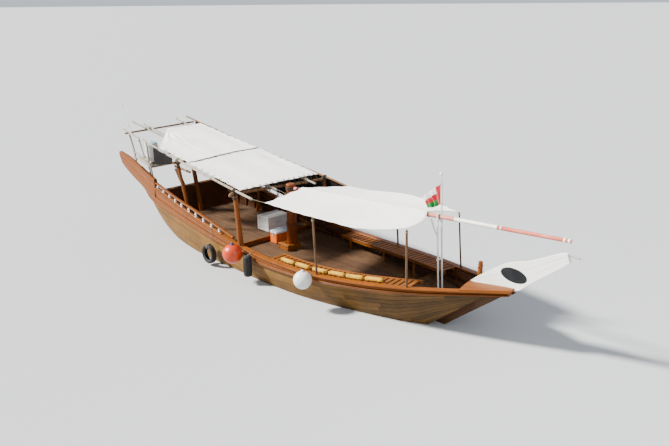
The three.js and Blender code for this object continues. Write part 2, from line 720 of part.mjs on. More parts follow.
// frames on the wing boards that hold the stern bar, with two bearers and a small platform
function sternSide(side) {
  const y = side * 1275;
  return [
    bough([[-7560, y, 3192], [-7310, y, 2610], [-7230, side * 1290, 1990]], 30, 34, 6),
    bough([[-7350, y, 2630], [-6150, side * 1300, 2410]], 28, 28, 6),
    bough([[-7270, y, 2460], [-6190, side * 1300, 2245]], 28, 28, 6),
    bough([[-6230, side * 1310, 1620], [-6370, side * 1305, 3105]], 34, 28, 6),
    bough([[-6900, y, 3105], [-6600, side * 1285, 2480]], 26, 26, 6),
    bough([[-6290, side * 1295, 2420], [-5960, side * 1335, 1560]], 28, 30, 6),
  ];
}
function sternFrame() {
  const bearers = [[-7150, 2405], [-6300, 2235]].map(([x, z]) => pole([x, -1310, z], [x, 1310, z], 32, 32, 8));
  const shelf = loft(
    [-7180, -6260].map((x) => {
      const z = 2236 + (-6300 - x) * 0.2;
      return [[x, -1262, z + 24], [x, -800, z + 24], [x, -800, z + 50], [x, -1262, z + 50]];
    }),
  );
  return standing(joined([...sternSide(-1), ...sternSide(1), ...bearers, shelf]));
}
add("stern_frame", sternFrame(), WOOD);
const MAST_X = -450;
add(
  "mast",
  pole([MAST_X, 0, MAIN_DECK_Z + GAP], [MAST_X, 0, 2500], 165, 142, 16).add(
    box(MAST_X - 270, MAST_X + 190, -330, 180, MAIN_DECK_Z + GAP, 690),
  ),
  DARK,
);
add("helm_post", pole([-5305, 0, AFT_DECK_Z - 30], [-5640, 0, 2080], 82, 74, 12).subtract(
  box(-6000, -5000, -200, 200, 0, AFT_DECK_Z + 1),
), WOOD);

// rudder and propeller
const rudderX = (z) => axisX(z) - AXIS_OFF;
add(
  "rudder",
  plate(
    [
      [rudderX(KEEL_BOTTOM + 30), KEEL_BOTTOM + 30],
      [rudderX(1900), 1900],
      [rudderX(1900) - 210, 1880],
      [rudderX(700) - 240, 700],
      [rudderX(100) - 500, 100],
      [rudderX(-500) - 730, -520],
      [rudderX(KEEL_BOTTOM + 30) - 670, KEEL_BOTTOM + 30],
    ],
    -30,
    30,
  )
    .add(pintle(1130))
    .add(pintle(330))
    .add(pintle(-560)),
  DARK,
);

add("tiller", pole([axisX(1960) - 170, 0, 1974], [-5900, 0, 1915], 44, 32, 10), WOOD);

function propeller() {
  const hub = pole(onShaft(-4080), onShaft(-3945), 38, 50, 16);
  const blades = [0, 1, 2].map((i) => {
    const g = new THREE.BoxGeometry(14, 130, PROPELLER_R - 20);
    g.translate(0, 0, (PROPELLER_R + 20) / 2);
    g.rotateZ(0.6).rotateX((i * 2 * Math.PI) / 3).rotateY(-Math.atan(SHAFT.rise));
    return solid(g.translate(SHAFT.x, 0, SHAFT.z));
  });
  return joined([hub, ...blades]);
}
add("propeller", propeller(), 0xb08d57);
add("propeller_shaft", pole(onShaft(-3944), onShaft(-2905), 26, 26, 12), 0x9a9a9a);
add("engine", box(-2900, -1760, -330, 330, -530, 330), 0x2f4a3a);

// canvas
const ACROSS = [-1, -0.75, -0.5, -0.25, 0, 0.25, 0.5, 0.75, 1];
const between = (p, q, t) => p.map((v, k) => v + (q[k] - v) * t);
const sheetRing = (line) => [...line, ...line.map(([x, y, z]) => [x, y, z + CLOTH]).reverse()];

// each row: the near edge, the far edge, and how far the battens lift the middle
const AFT_ROWS = [
  { near: [-6950, -160, 3310], far: [-6960, 1260, 3345], crown: 8 },
  { near: [-6300, -665, 3215], far: [-6400, 1340, 3245], crown: 20 },
  { near: [-5400, -1365, 3078], far: [-5700, 1390, 3120], crown: 25 },
  { near: [-4800, -1402, 2998], far: [-4950, 1414, 3000], crown: 25 },
  { near: [-3480, -1508, 2866], far: [-3900, 1470, 2846], crown: 25 },
];
const MID_ROWS = [
  { near: [-3400, -1515, 2857], far: [-3820, 1475, 2834], crown: 25 },
  { near: [-2500, -1566, 2761], far: [-2800, 1542, 2652], crown: 25 },
  { near: [-1700, -1608, 2677], far: [-1900, 1600, 2520], crown: 25 },
  { near: [-680, -1650, 2548], far: [-1080, 1655, 2375], crown: 50, bulge: 120 },
];
function panel(rows) {
  return loft(
    rows.map(({ near, far, crown, bulge = 0 }) =>
      sheetRing(
        ACROSS.map((u) => {
          const [x, y, z] = between(near, far, (u + 1) / 2);
          return [x + bulge * (1 - u * u), y, z + crown * (1 - u * u)];
        }),
      ),
    ),
  );
}
add("awning_aft", panel(AFT_ROWS), WHITE);
add("awning_mid", panel(MID_ROWS), WHITE);

// the spar under the fore awning's ridge
const SPAR = { heel: -270, tip: 8300, r0: 60, r1: 42 };
const sparZ = (x) => 2380 + 0.06 * x;
const sparR = (x) => SPAR.r0 + ((SPAR.r1 - SPAR.r0) * (x - SPAR.heel)) / (SPAR.tip - SPAR.heel);
const FORE_ROWS = [
  { near: [480, -1690, 2425], ridge: 50, far: [230, 1680, 2200] },
  { near: [1250, -1735, 2445], ridge: 1000, far: [1100, 1580, 2275] },
  { near: [2350, -1745, 2470], ridge: 2000, far: [2000, 1400, 2420] },
  { near: [3200, -1700, 2478], ridge: 2900, far: [2800, 1200, 2560] },
  { near: [3800, -1620, 2480], ridge: 3600, far: [3450, 1050, 2625] },
  { near: [4430, -1300, 2512], ridge: 4200, far: [4300, 900, 2625] },
  { near: [4830, -1010, 2572], ridge: 4590, far: [4960, 690, 2628], lobe: 150 },
];
function awningFore() {
  return loft(
    FORE_ROWS.map(({ near, ridge, far, lobe = 0 }) => {
      const top = [ridge, 0, sparZ(ridge) + sparR(ridge) + 6];
      return sheetRing(
        ACROSS.map((u) => {
          const [x, y, z] = between(top, u < 0 ? near : far, Math.abs(u));
          return [x + lobe * Math.sin(Math.PI * Math.min(1, -Math.min(u, 0))), y, z];
        }),
      );
    }),
  );
}
add("awning_fore", awningFore(), WHITE);

// dark side cloths: the port one closes that side, the starboard one tapers to nothing
const HANG = 14;
function hangingCloth(rows) {
  return loft(
    rows.map(([x, topY, topZ, lowY, lowZ]) => {
      const out = Math.sign(topY) * HANG;
      const [midY, mid] = [(topY + lowY) / 2, (topZ + lowZ) / 2];
      const face = [[x, topY, topZ], [x, midY, mid], [x, lowY, lowZ]];
      return [...face, ...face.map(([fx, fy, fz]) => [fx, fy + out, fz]).reverse()];
    }),
  );
}
function portCurtain() {
  const xs = [-7500, -6900, -6300, -5660, -5200, -4600, -4050, -3400, -2800, -2200, -1600, -1200, -800, -300, 300];
  const rows = xs.map((x) => {
    const [y, z] = [straight(FAR_POLE, x, "y"), straight(FAR_POLE, x, "z")];
    const b = lineAt(x, "b");
    const low = x < -1300 ? [b + 46, railZ(x) - 30] : [b + 71, lineAt(x, "sheer") + CAP + 8];
    if (x < -5600) low[1] = lineAt(x, "sheer") + 90;
    return [x, y + 38, z - 25, low[0], low[1]];
  });
  return hangingCloth(rows)
    .subtract(box(AFT_X - 60, AFT_X + 60, 1300, 2000, aftZ(1700) - 62, 3200))
    .subtract(box(MID_X - 80, MID_X + 60, 1300, 2000, midZ(1800) - 62, 3200));
}
add("curtain_port", portCurtain(), DARK);
const STERN_CLOTH = [
  { x: -5690, low: 2470 },
  { x: -5000, low: 2590 },
  { x: -4320, low: 2735 },
];
add(
  "curtain_starboard",
  hangingCloth(
    STERN_CLOTH.map(({ x, low }) => {
      const [y, z] = [straight(NEAR_POLE, x, "y"), straight(NEAR_POLE, x, "z")];
      return [x, -(y + 38), z - 20, -(y + 38), low];
    }),
  ),
  DARK,
);

// spar and flagstaff
const COLLARS = [5450, 6550, 8160];
const collar = (x) => pole([x - 22, 0, sparZ(x - 22)], [x + 22, 0, sparZ(x + 22)], sparR(x) + 9, sparR(x) + 9, 12);
add(
  "ridge_spar",
  joined([
    pole([SPAR.heel, 0, sparZ(SPAR.heel)], [SPAR.tip, 0, sparZ(SPAR.tip)], SPAR.r0, SPAR.r1, 12),
    ...COLLARS.map(collar),
  ]),
  0xc06a62,
);
// the staff stands on the foredeck beside the spar; its mate and two cleats make the spar's crutch
const STAFF = { x: 5090, y: 78, top: 3650, lean: -0.058, r: 20 };
const staffX = (z) => STAFF.x + STAFF.lean * (z - FORE_DECK_Z);
add(
  "flagstaff",
  joined([
    pole([STAFF.x, STAFF.y, FORE_DECK_Z + 3], [staffX(STAFF.top), STAFF.y, STAFF.top], STAFF.r, 17, 8),
    solid(new THREE.SphereGeometry(45, 10, 7).rotateX(Math.PI / 2).translate(staffX(3690), STAFF.y, 3690)),
    pole([STAFF.x, -STAFF.y, FORE_DECK_Z + 3], [staffX(2760), -STAFF.y, 2760], STAFF.r, 20, 8),
    pole([staffX(2598), -120, 2598], [staffX(2598), 120, 2598], 22, 22, 6),
    pole([staffX(1620), -110, 1620], [staffX(1620), 110, 1620], 20, 20, 6),
    pole([staffX(2180), -STAFF.y, 2180], [4790, -STAFF.y, 2600], 20, 20, 6),
  ]),
  WHITE,
);
const FLAG = [
  [staffX(3440) - 24, 3440],
  [4640, 3230],
  [4350, 2960],
  [4560, 2790],
  [4720, 2880],
  [staffX(2960) - 24, 2960],
];
add("flag", plate(FLAG, STAFF.y - 8, STAFF.y + 8), 0xc03030);

// fittings
const CHEST = { x0: -2330, x1: -1790, y0: 160, y1: 970, top: 1035, wall: 45 };
function chestBody() {
  const { x0, x1, y0, y1, top, wall } = CHEST;
  const hollow = box(x0 + wall, x1 - wall, y0 + wall, y1 - wall, AFT_DECK_Z + 55, top + 200);
  return box(x0, x1, y0, y1, AFT_DECK_Z + 1, top).subtract(hollow);
}
add("ice_chest", chestBody(), WHITE);
add(
  "ice_chest_lid",
  box(CHEST.x0 - 6, CHEST.x1 + 6, CHEST.y0 - 6, CHEST.y1 + 6, CHEST.top + 6, CHEST.top + 60),
  WHITE,
);
add("cool_box", box(-1350, -1010, -150, 400, MAIN_DECK_Z + 1, MAIN_DECK_Z + 400), 0xd8502a);
// the drum stands on the stern platform
const DRUM = { x: -6560, y: -1025, r: 215, z0: 2385, z1: 3090 };
add(
  "drum",
  spun(
    [[0, 0], [DRUM.r, 0], [DRUM.r, 0.86], [DRUM.r - 40, 0.95], [60, 0.95], [60, 1], [0, 1]],
    [DRUM.x, DRUM.y, DRUM.z0],
    [DRUM.x, DRUM.y, DRUM.z1],
    16,
  ),
  WHITE,
);
add("antenna", pole([-7240, -1375, 3300], [-7640, -1390, 4260], 16, 10, 8), WHITE);
add(
  "samson_post",
  pole([SAMSON.x, SAMSON.y, SAMSON.foot], [SAMSON.x, SAMSON.y, 1780], SAMSON.r, SAMSON.r - 6, 12),
  WOOD,
);

// fenders
function ball(x, y, z, r) {
  const body = new THREE.SphereGeometry(r, 18, 12).rotateX(Math.PI / 2).translate(x, y, z);
  return solid(body).add(pole([x, y, z + r - 14], [x, y, z + r + 48], 46, 34, 12));
}
add("fender_white", ball(2250, -1972, 830, 238), WHITE);
add("fender_orange", ball(-570, -2100, 830, 280), 0xe05a30);
add(
  "fender_black",
  spun([[0, 0], [70, 0], [118, 0.12], [120, 0.5], [118, 0.88], [70, 1], [0, 1]], [-110, -1935, 230], [-110, -1935, 860], 14),
  0x151515,
);
const TREAD = [
  [295, -60], [295, 60], [265, 84], [205, 78], [178, 40],
  [178, -40], [205, -78], [265, -84], [295, -60],
];
function tyre(x, y, z) {
  const g = new THREE.LatheGeometry(TREAD.map(([r, h]) => new THREE.Vector2(r, h)), 22);
  return solid(g.translate(x, y, z));
}
add("fender_tyre", tyre(-2100, -1876, 370), 0x151515);

export default part;
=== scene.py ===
# A wooden Gulf dhow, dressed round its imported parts.
# Metres: +X is the bow, +Y is port, +Z is up, and the waterline is at 0.
import json
import random
from math import atan2, copysign, cos, exp, pi, radians, sin

import bmesh
import bpy
from mathutils import Matrix, Vector, noise

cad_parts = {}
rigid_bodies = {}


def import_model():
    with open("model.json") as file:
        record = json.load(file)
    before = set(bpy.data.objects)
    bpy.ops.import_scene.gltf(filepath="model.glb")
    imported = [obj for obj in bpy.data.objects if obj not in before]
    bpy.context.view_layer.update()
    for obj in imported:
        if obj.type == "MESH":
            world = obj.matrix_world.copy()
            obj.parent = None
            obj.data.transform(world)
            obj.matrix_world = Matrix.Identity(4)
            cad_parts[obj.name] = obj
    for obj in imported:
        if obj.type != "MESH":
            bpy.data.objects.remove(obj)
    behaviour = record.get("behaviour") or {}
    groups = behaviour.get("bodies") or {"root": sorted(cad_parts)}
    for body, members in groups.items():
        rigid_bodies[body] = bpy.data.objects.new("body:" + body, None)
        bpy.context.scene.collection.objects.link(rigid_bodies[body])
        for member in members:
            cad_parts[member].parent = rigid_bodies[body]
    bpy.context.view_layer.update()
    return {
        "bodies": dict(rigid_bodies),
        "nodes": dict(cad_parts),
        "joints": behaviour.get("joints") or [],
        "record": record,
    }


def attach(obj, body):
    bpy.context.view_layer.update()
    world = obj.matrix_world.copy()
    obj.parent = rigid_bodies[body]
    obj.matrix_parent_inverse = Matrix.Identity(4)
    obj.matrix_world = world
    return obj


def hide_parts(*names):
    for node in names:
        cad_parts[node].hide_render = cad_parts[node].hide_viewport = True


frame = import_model()
nodes = frame["nodes"]
random.seed(11)
noise.seed_set(11)
print("frame loaded,", len(nodes), "nodes")

# camera, set from the photograph: the place, and turns in degrees
camera = {
    "place": (14.346, -12.46, 7.506),
    "azimuth": 46.132,
    "down": 17.898,
    "roll": -0.433,
    "lens": 36.66,
}


def placed(name, data):
    made = bpy.data.objects.new(name, data)
    bpy.context.scene.collection.objects.link(made)
    return made


def setCamera():
    turn, down, roll = (radians(camera[key]) for key in ("azimuth", "down", "roll"))
    ahead = Vector((-sin(turn) * cos(down), cos(turn) * cos(down), -sin(down)))
    level = Vector((cos(turn), sin(turn), 0))
    upward = level.cross(ahead)
    right = level * cos(roll) + upward * sin(roll)
    up = upward * cos(roll) - level * sin(roll)
    data = bpy.data.cameras.new("camera")
    data.lens = camera["lens"]
    data.sensor_width = 36
    data.clip_end = 9000
    eye = placed("camera", data)
    eye.matrix_world = Matrix.Translation(camera["place"]) @ Matrix((right, up, -ahead)).transposed().to_4x4()
    bpy.context.scene.camera = eye


setCamera()

# a table whose rows are looked up by the names of its columns
def tableOf(columns, rows):
    return [dict(zip(columns, row)) for row in rows]


# hull lines: x, half breadth and height of the sheer, lower edge of the wale, rabbet, fullness, bilge;
# the sheer steps up to the wing boards
hullLines = tableOf(("x", "b", "sheer", "wale", "keel", "full", "bilge"), [
    (-8.36, 1.266, 2.5, 2.41, 0.7, 1, 4),
    (-8.24, 1.272, 2.492, 2.15, 0.662, 1, 4),
    (-7.4, 1.33, 2.375, 1.78, 0.4, 1, 4),
    (-6.45, 1.42, 2.13, 1.5, 0.06, 1, 3.2),
    (-6.15, 1.45, 2.07, 1.27, -0.004, 1, 3.06),
    (-5.75, 1.487, 1.98, 1.135, -0.092, 1, 2.87),
    (-5.65, 1.496, 1.955, 1.118, -0.11, 1, 2.82),
    (-5.62, 1.498, 1.655, 1.114, -0.116, 1, 2.81),
    (-5.5, 1.508, 1.632, 1.103, -0.136, 1, 2.89),
    (-4.8, 1.56, 1.5, 1.05, -0.25, 1, 3.5),
    (-4, 1.61, 1.355, 0.98, -0.35, 1, 3.5),
    (-3, 1.65, 1.185, 0.875, -0.62, 0.98, 3.2),
    (-2, 1.68, 1.05, 0.775, -0.75, 0.95, 2.9),
    (-1, 1.705, 0.93, 0.685, -0.75, 0.93, 2.7),
    (0.25, 1.715, 0.835, 0.62, -0.75, 0.92, 2.6),
    (1.5, 1.68, 0.83, 0.65, -0.75, 0.87, 2.4),
    (2.6, 1.57, 0.88, 0.715, -0.75, 0.77, 2.1),
    (3.6, 1.37, 0.96, 0.79, -0.75, 0.6, 2),
    (4.4, 1.15, 1.04, 0.875, -0.7, 0.42, 2),
    (5, 0.95, 1.105, 0.96, -0.32, 0.3, 2),
    (5.6, 0.73, 1.182, 1.06, 0.18, 0.2, 2),
    (6.2, 0.49, 1.27, 1.16, 0.67, 0.12, 2),
    (6.75, 0.26, 1.352, 1.245, 1.09, 0.06, 2),
    (7.15, 0.096, 1.408, 1.32, 1.36, 0, 2),
])


def onBothSides(make):
    for side, word in ((-1, "starboard"), (1, "port")):
        make(side, word)

hull = {
    "shell": 0.07,
    "keelHalf": 0.07,
    "sternX": -5.13,
    "sternRake": -0.772,
    "stemX": 5.03,  # the planking's forward end at the waterline
    "stemRake": 1.245,
    "cap": 0.042,
    "wingX": -5.65,
    "capX": -5.62,
    "mainDeck": 0.5,
    "aftDeck": 0.64,
    "foreDeck": 0.72,
}


# between the rows of a table: by a curve through them, or straight
def between(table, x, key, curved=True):
    last = len(table) - 1
    if x <= table[0]["x"]:
        return table[0][key]
    if x >= table[last]["x"]:
        return table[last][key]
    i = next(n for n, row in enumerate(table) if row["x"] > x) - 1
    a, b = table[i], table[i + 1]
    run = b["x"] - a["x"]
    t = (x - a["x"]) / run
    if not curved:
        return a[key] + (b[key] - a[key]) * t

    def slope(k):
        p, q = table[max(0, k - 1)], table[min(last, k + 1)]
        return (q[key] - p[key]) / (q["x"] - p["x"])

    level = (1 + 2 * t) * (1 - t) ** 2 * a[key] + t * t * (3 - 2 * t) * b[key]
    level += run * (t * (1 - t) ** 2 * slope(i) - t * t * (1 - t) * slope(i + 1))
    return min(max(level, min(a[key], b[key])), max(a[key], b[key]))


def straight(table, x, key):
    return between(table, x, key, curved=False)


def line(x, key):
    return between(hullLines, x, key, curved=key in ("b", "sheer", "wale"))


def capTop(x):
    return line(x, "sheer") + hull["cap"]


# where the side reaches its full breadth runs on aft under the wing boards
sideTops = tableOf(("x", "top"), [(-8.36, 2.44), (-7.4, 2.12), (-6.45, 1.83), (-5.62, 1.655)])


def sideTop(x):
    return straight(sideTops, x, "top") if x < hull["capX"] else line(x, "sheer")


# half breadth of the planking at a height
def breadthAt(x, z):
    keel = line(x, "keel")
    t = min(1, max(0, (z - keel) / (sideTop(x) - keel)))
    full, bilge = line(x, "full"), line(x, "bilge")
    curve = (1 - full) * t + full * (1 - (1 - t) ** bilge) ** (1 / bilge)
    rabbet = min(hull["keelHalf"], line(x, "b"))
    return rabbet + (line(x, "b") - rabbet) * curve


def spaced(low, high, step):
    count = max(1, round((high - low) / step))
    return [low + (high - low) * i / count for i in range(count + 1)]


# the same along the hull, with both sides of the step at the wing boards
def stations(low, high, step):
    return sorted([*spaced(low, high, step), *(x for x in (hull["wingX"], hull["capX"]) if low < x < high)])


# what makes up one piece: points, faces, where each face lies along the grain, its tone and its finish
class Shape:
    def __init__(self):
        self.points = []
        self.faces = []
        self.grain = []
        self.tones = []
        self.finishes = []

    def face(self, corners, grain, tone, finish):
        self.faces.append(corners)
        self.grain.append(grain)
        self.tones.append(tone)
        self.finishes.append(finish)

    # rows of points joined by faces; the grain runs from row to row
    def loft(self, rows, closed=True, capped=True, tone=0.0, finish=0):
        base, count = len(self.points), len(rows[0])
        self.points += [tuple(point) for row in rows for point in row]
        shift = random.random() * 9
        along, around = [shift], [shift]
        for a, b in zip(rows, rows[1:]):
            along.append(along[-1] + (Vector(b[0]) - Vector(a[0])).length)
        widest = rows[len(rows) // 2]
        steps = count if closed else count - 1
        for j in range(steps):
            around.append(around[-1] + (Vector(widest[(j + 1) % count]) - Vector(widest[j])).length)
        for i in range(len(rows) - 1):
            for j in range(steps):
                k = (j + 1) % count
                a, b = base + i * count, base + (i + 1) * count
                self.face(
                    (a + j, a + k, b + k, b + j),
                    [(along[i], around[j]), (along[i], around[j + 1]),
                     (along[i + 1], around[j + 1]), (along[i + 1], around[j])],
                    tone,
                    finish(i, j) if callable(finish) else finish,
                )
        if closed and capped:
            for i, row in ((0, rows[0]), (len(rows) - 1, rows[-1])):
                ring = tuple(base + i * count + j for j in range(count))
                flat = [(shift + 0.02 * j, shift) for j in range(count)]
                end = 0 if i == 0 else len(rows) - 2
                self.face(ring, flat, tone, finish(end, 0) if callable(finish) else finish)
        return self

    # a turned form, a tube along a path and a straight board
    def turn(self, profile, foot, axis=(0, 0, 1), sides=20, **style):
        return self.loft(turned(profile, foot, axis, sides), **style)

    def tube(self, path, radius, sides=12, rough=0.0, **style):
        return self.loft(ringsAlong(path, radius, sides, rough), **style)

    def board(self, a, b, across, up, bevel=0.004, **style):
        return self.loft(boardRows(a, b, across, up, bevel), **style)

    # makes the object, of finishes or the names of looks; each cut clears what lies beyond a plane,
    # where its normal points
    def piece(self, name, materials, body="hull", slot=None, stands=(), smooth=35, cuts=(), solid=True):
        mesh = bpy.data.meshes.new(name)
        mesh.from_pydata(self.points, [], self.faces)
        layer = mesh.uv_layers.new(name="grain")
        layer.data.foreach_set("uv", [c for face in self.grain for corner in face for c in corner])
        tone = mesh.attributes.new("tone", "FLOAT", "FACE")
        tone.data.foreach_set("value", self.tones)
        mesh.polygons.foreach_set("material_index", self.finishes)
        work = bmesh.new()
        work.from_mesh(mesh)
        for place, normal in cuts:
            everything = work.verts[:] + work.edges[:] + work.faces[:]
            cut = bmesh.ops.bisect_plane(work, geom=everything, plane_co=place, plane_no=normal,
                                         clear_outer=True)
            edges = [e for e in cut["geom_cut"] if isinstance(e, bmesh.types.BMEdge)]
            bmesh.ops.holes_fill(work, edges=edges)
        if solid:
            bmesh.ops.recalc_face_normals(work, faces=work.faces)
        work.to_mesh(mesh)
        work.free()
        mesh.shade_smooth()
        mesh.set_sharp_from_angle(angle=radians(smooth))
        for material in materials if isinstance(materials, list) else [materials]:
            mesh.materials.append(look(material) if isinstance(material, str) else material)
        made = placed(name, mesh)
        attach(made, body)
        if stands:
            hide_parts(*stands)
        return made


def smoothPath(points, steps=6):
    p = [Vector(point) for point in points]
    out = []
    for i in range(len(p) - 1):
        a, b, c, d = p[max(i - 1, 0)], p[i], p[i + 1], p[min(i + 2, len(p) - 1)]
        for step in range(steps):
            t = step / steps
            out.append(0.5 * (2 * b + (c - a) * t + (2 * a - 5 * b + 4 * c - d) * t**2
                              + (3 * b - a - 3 * c + d) * t**3))
    return out + [p[-1]]


# points at even steps along a path
def resampled(path, count):
    lengths = [0.0]
    for a, b in zip(path, path[1:]):
        lengths.append(lengths[-1] + (b - a).length)
    out, n = [], 0
    for k in range(count + 1):
        target = lengths[-1] * k / count
        while n < len(path) - 2 and lengths[n + 1] < target:
            n += 1
        share = (target - lengths[n]) / max(1e-9, lengths[n + 1] - lengths[n])
        out.append(path[n].lerp(path[n + 1], min(1, max(0, share))))
    return out


def evenly(points, count):
    return resampled(smoothPath(points, 10), count)


# the angles of a full turn in equal steps; a closed one ends where it starts
def turnsOf(count, closed=False):
    return [2 * pi * k / count for k in range(count + closed)]


# rings round a path; the radius is a number or depends on the share of the way
def ringsAlong(path, radius, sides=12, rough=0.0):
    path = [Vector(point) for point in path]
    last = len(path) - 1
    side = (path[1] - path[0]).orthogonal().normalized()
    rings = []
    for i, point in enumerate(path):
        along = (path[min(i + 1, last)] - path[max(i - 1, 0)]).normalized()
        side = (side - along * side.dot(along)).normalized()
        other = along.cross(side)
        r = radius(i / last) if callable(radius) else radius
        ring = []
        for turn in turnsOf(sides):
            out = side * cos(turn) + other * sin(turn)
            uneven = 1 + rough * noise.noise(point * 3.1 + out * 0.7) if rough else 1
            ring.append(point + out * r * uneven)
        rings.append(ring)
    return rings


# a turned shape: (radius, height) pairs about an axis through a point
def turned(profile, foot, axis=(0, 0, 1), sides=20):
    axis = Vector(axis).normalized()
    side = axis.orthogonal().normalized()
    other = axis.cross(side)
    return [
        [Vector(foot) + axis * h + (side * cos(t) + other * sin(t)) * max(r, 0.0008)
         for t in turnsOf(sides)]
        for r, h in profile
    ]


# a level rectangle with round corners
def roundRing(x0, x1, y0, y1, r, z, steps=4):
    ring = []
    corners = ((x1 - r, y1 - r, 0), (x0 + r, y1 - r, 90), (x0 + r, y0 + r, 180), (x1 - r, y0 + r, 270))
    for cx, cy, start in corners:
        for k in range(steps + 1):
            turn = radians(start + 90 * k / steps)
            ring.append((cx + r * cos(turn), cy + r * sin(turn), z))
    return ring


# a box with round corners and softened top and bottom edges
def roundBox(x0, x1, y0, y1, z0, z1, r=0.03, edge=0.008):
    rows = []
    for z, inset in ((z0, edge), (z0 + edge, 0), (z1 - edge, 0), (z1 - 0.3 * edge, 0.3 * edge), (z1, edge)):
        rows.append(roundRing(x0 + inset, x1 - inset, y0 + inset, y1 - inset, r, z))
    return rows


# a straight board with softened edges between two points: width across, thickness up
def boardRows(a, b, across, up, bevel=0.004):
    a, b, across, up = Vector(a), Vector(b), Vector(across) / 2, Vector(up) / 2
    u, v = across.normalized() * bevel, up.normalized() * bevel
    along = (b - a).normalized() * bevel

    def ring(at, inset):
        w, h = across - u * inset, up - v * inset
        corners = []
        for sw, sh in ((1, 1), (-1, 1), (-1, -1), (1, -1)):
            pair = [at + (w - u) * sw + h * sh, at + w * sw + (h - v) * sh]
            corners += pair if sw * sh < 0 else pair[::-1]
        return corners

    return [ring(a, 1), ring(a + along, 0), ring(b - along, 0), ring(b, 1)]


# an outline across the boat at one place along it, on one side
def mirrored(x, side, ring):
    return [(x, side * y, z) for y, z in ring]


def noiseAt(x, y, z):
    return noise.noise(Vector((x, y, z)))


def boardTone(spread=0.12):
    return random.uniform(-spread, spread)


# starts and ends of the boards in one run; the last takes up what would be too short for a board
def boardEnds(start, stop, long, spread, shortest):
    while start < stop:
        end = min(stop, start + long * random.uniform(*spread))
        if stop - end < shortest:
            end = stop
        yield start, end
        start = end


# finishes
def addNode(tree, kind, inputs=None, **settings):
    node = tree.nodes.new("ShaderNode" + kind)
    for key, value in settings.items():
        setattr(node, key, value)
    for key, value in (inputs or {}).items():
        if isinstance(value, bpy.types.NodeSocket):
            tree.links.new(value, node.inputs[key])
        else:
            node.inputs[key].default_value = value
    return node


# a ramp between colours or greys, from (place, colour) stops
def addRamp(tree, factor, stops):
    node = addNode(tree, "ValToRGB", {"Fac": factor})
    elements = node.color_ramp.elements
    while len(elements) < len(stops):
        elements.new(0.5)
    for element, (place, colour) in zip(elements, stops):
        element.position = place
        element.color = (*colour, 1) if isinstance(colour, tuple) else (colour, colour, colour, 1)
    return node.outputs["Color"]


# where a finish lies: along the grain made with the piece, or along an axis of the boat
def grainVector(tree, along, stretch):
    if along == "grain":
        source = addNode(tree, "UVMap", uv_map="grain").outputs["UV"]
    else:
        source = addNode(tree, "TexCoord").outputs["Object"]
    scale = {
        "grain": (1, stretch, 1),
        "x": (1, stretch, stretch),
        "y": (stretch, 1, stretch),
        "z": (stretch, stretch, 1),
        "all": (1, 1, 1),
    }[along]
    return addNode(tree, "Mapping", {"Vector": source, "Scale": scale}).outputs["Vector"]


def addNoise(tree, place, scale, detail, rough):
    values = {"Vector": place, "Scale": scale, "Detail": detail, "Roughness": rough}
    return addNode(tree, "TexNoise", values).outputs["Fac"]


# a colour laid over another by a share
def addBlend(tree, share, under, over):
    values = {"Fac": share, "Color1": under, "Color2": (*over, 1)}
    return addNode(tree, "MixRGB", values).outputs["Color"]


def addMath(tree, operation, *values):
    return addNode(tree, "Math", dict(enumerate(values)), operation=operation).outputs["Value"]


finishes = {}


# the common build: streaks between two colours, patches of a third, worn spots of a fourth, and relief
def finish(name, low, high, along="grain", stretch=14, scale=2.2, patches=None, patchShare=0.5,
           patchScale=1.3, worn=None, wornShare=0.3, wornScale=9, rough=(0.45, 0.7), relief=0.002,
           coat=0.0, metal=0.0, sheen=0.0, weave=0.0, level=0.54, gleam=0.22):
    key = name + "_" + along
    if key in finishes:
        return finishes[key]
    material = bpy.data.materials.new(key)
    material.use_nodes = True
    tree = material.node_tree
    shader = tree.nodes["Principled BSDF"]
    plain = {"Metallic": metal, "Specular IOR Level": gleam, "Coat Weight": coat, "Coat Roughness": 0.25,
             "Sheen Weight": sheen}
    for socket, value in plain.items():
        shader.inputs[socket].default_value = value
    vector = grainVector(tree, along, stretch)
    streaks = addNoise(tree, vector, scale, 7, 0.62)
    colour = addRamp(tree, streaks, [(0.3, low), (0.7, high)])
    if patches:
        place = addNode(tree, "TexCoord").outputs["Object"]
        broad = addNoise(tree, place, patchScale, 4, 0.6)
        colour = addBlend(tree, addRamp(tree, broad, [(0.42, 0.0), (0.66, patchShare)]), colour, patches)
    if worn:
        spots = addNoise(tree, vector, wornScale, 8, 0.75)
        edge = 0.72 - 0.3 * wornShare
        colour = addBlend(tree, addRamp(tree, spots, [(edge, 0.0), (edge + 0.06, 0.85)]), colour, worn)
    tone = addNode(tree, "Attribute", attribute_name="tone").outputs["Fac"]
    bright = addMath(tree, "MULTIPLY_ADD", tone, level, level)
    rich = addNode(tree, "HueSaturation", {"Saturation": 1.22, "Value": bright, "Color": colour})
    tree.links.new(rich.outputs["Color"], shader.inputs["Base Color"])
    gloss = addNode(tree, "MapRange", {"Value": streaks, 3: rough[0], 4: rough[1]})
    tree.links.new(gloss.outputs["Result"], shader.inputs["Roughness"])
    height = streaks
    if weave:
        wave = {"Vector": vector, "Scale": weave, "Distortion": 0.6, "Detail": 1}
        threads = [addNode(tree, "TexWave", wave, bands_direction=way).outputs["Fac"] for way in ("X", "Y")]
        height = addMath(tree, "ADD", addMath(tree, "MULTIPLY", *threads), height)
    bump = addNode(tree, "Bump", {"Height": height, "Strength": 0.7, "Distance": relief})
    tree.links.new(bump.outputs["Normal"], shader.inputs["Normal"])
    finishes[key] = material
    return material


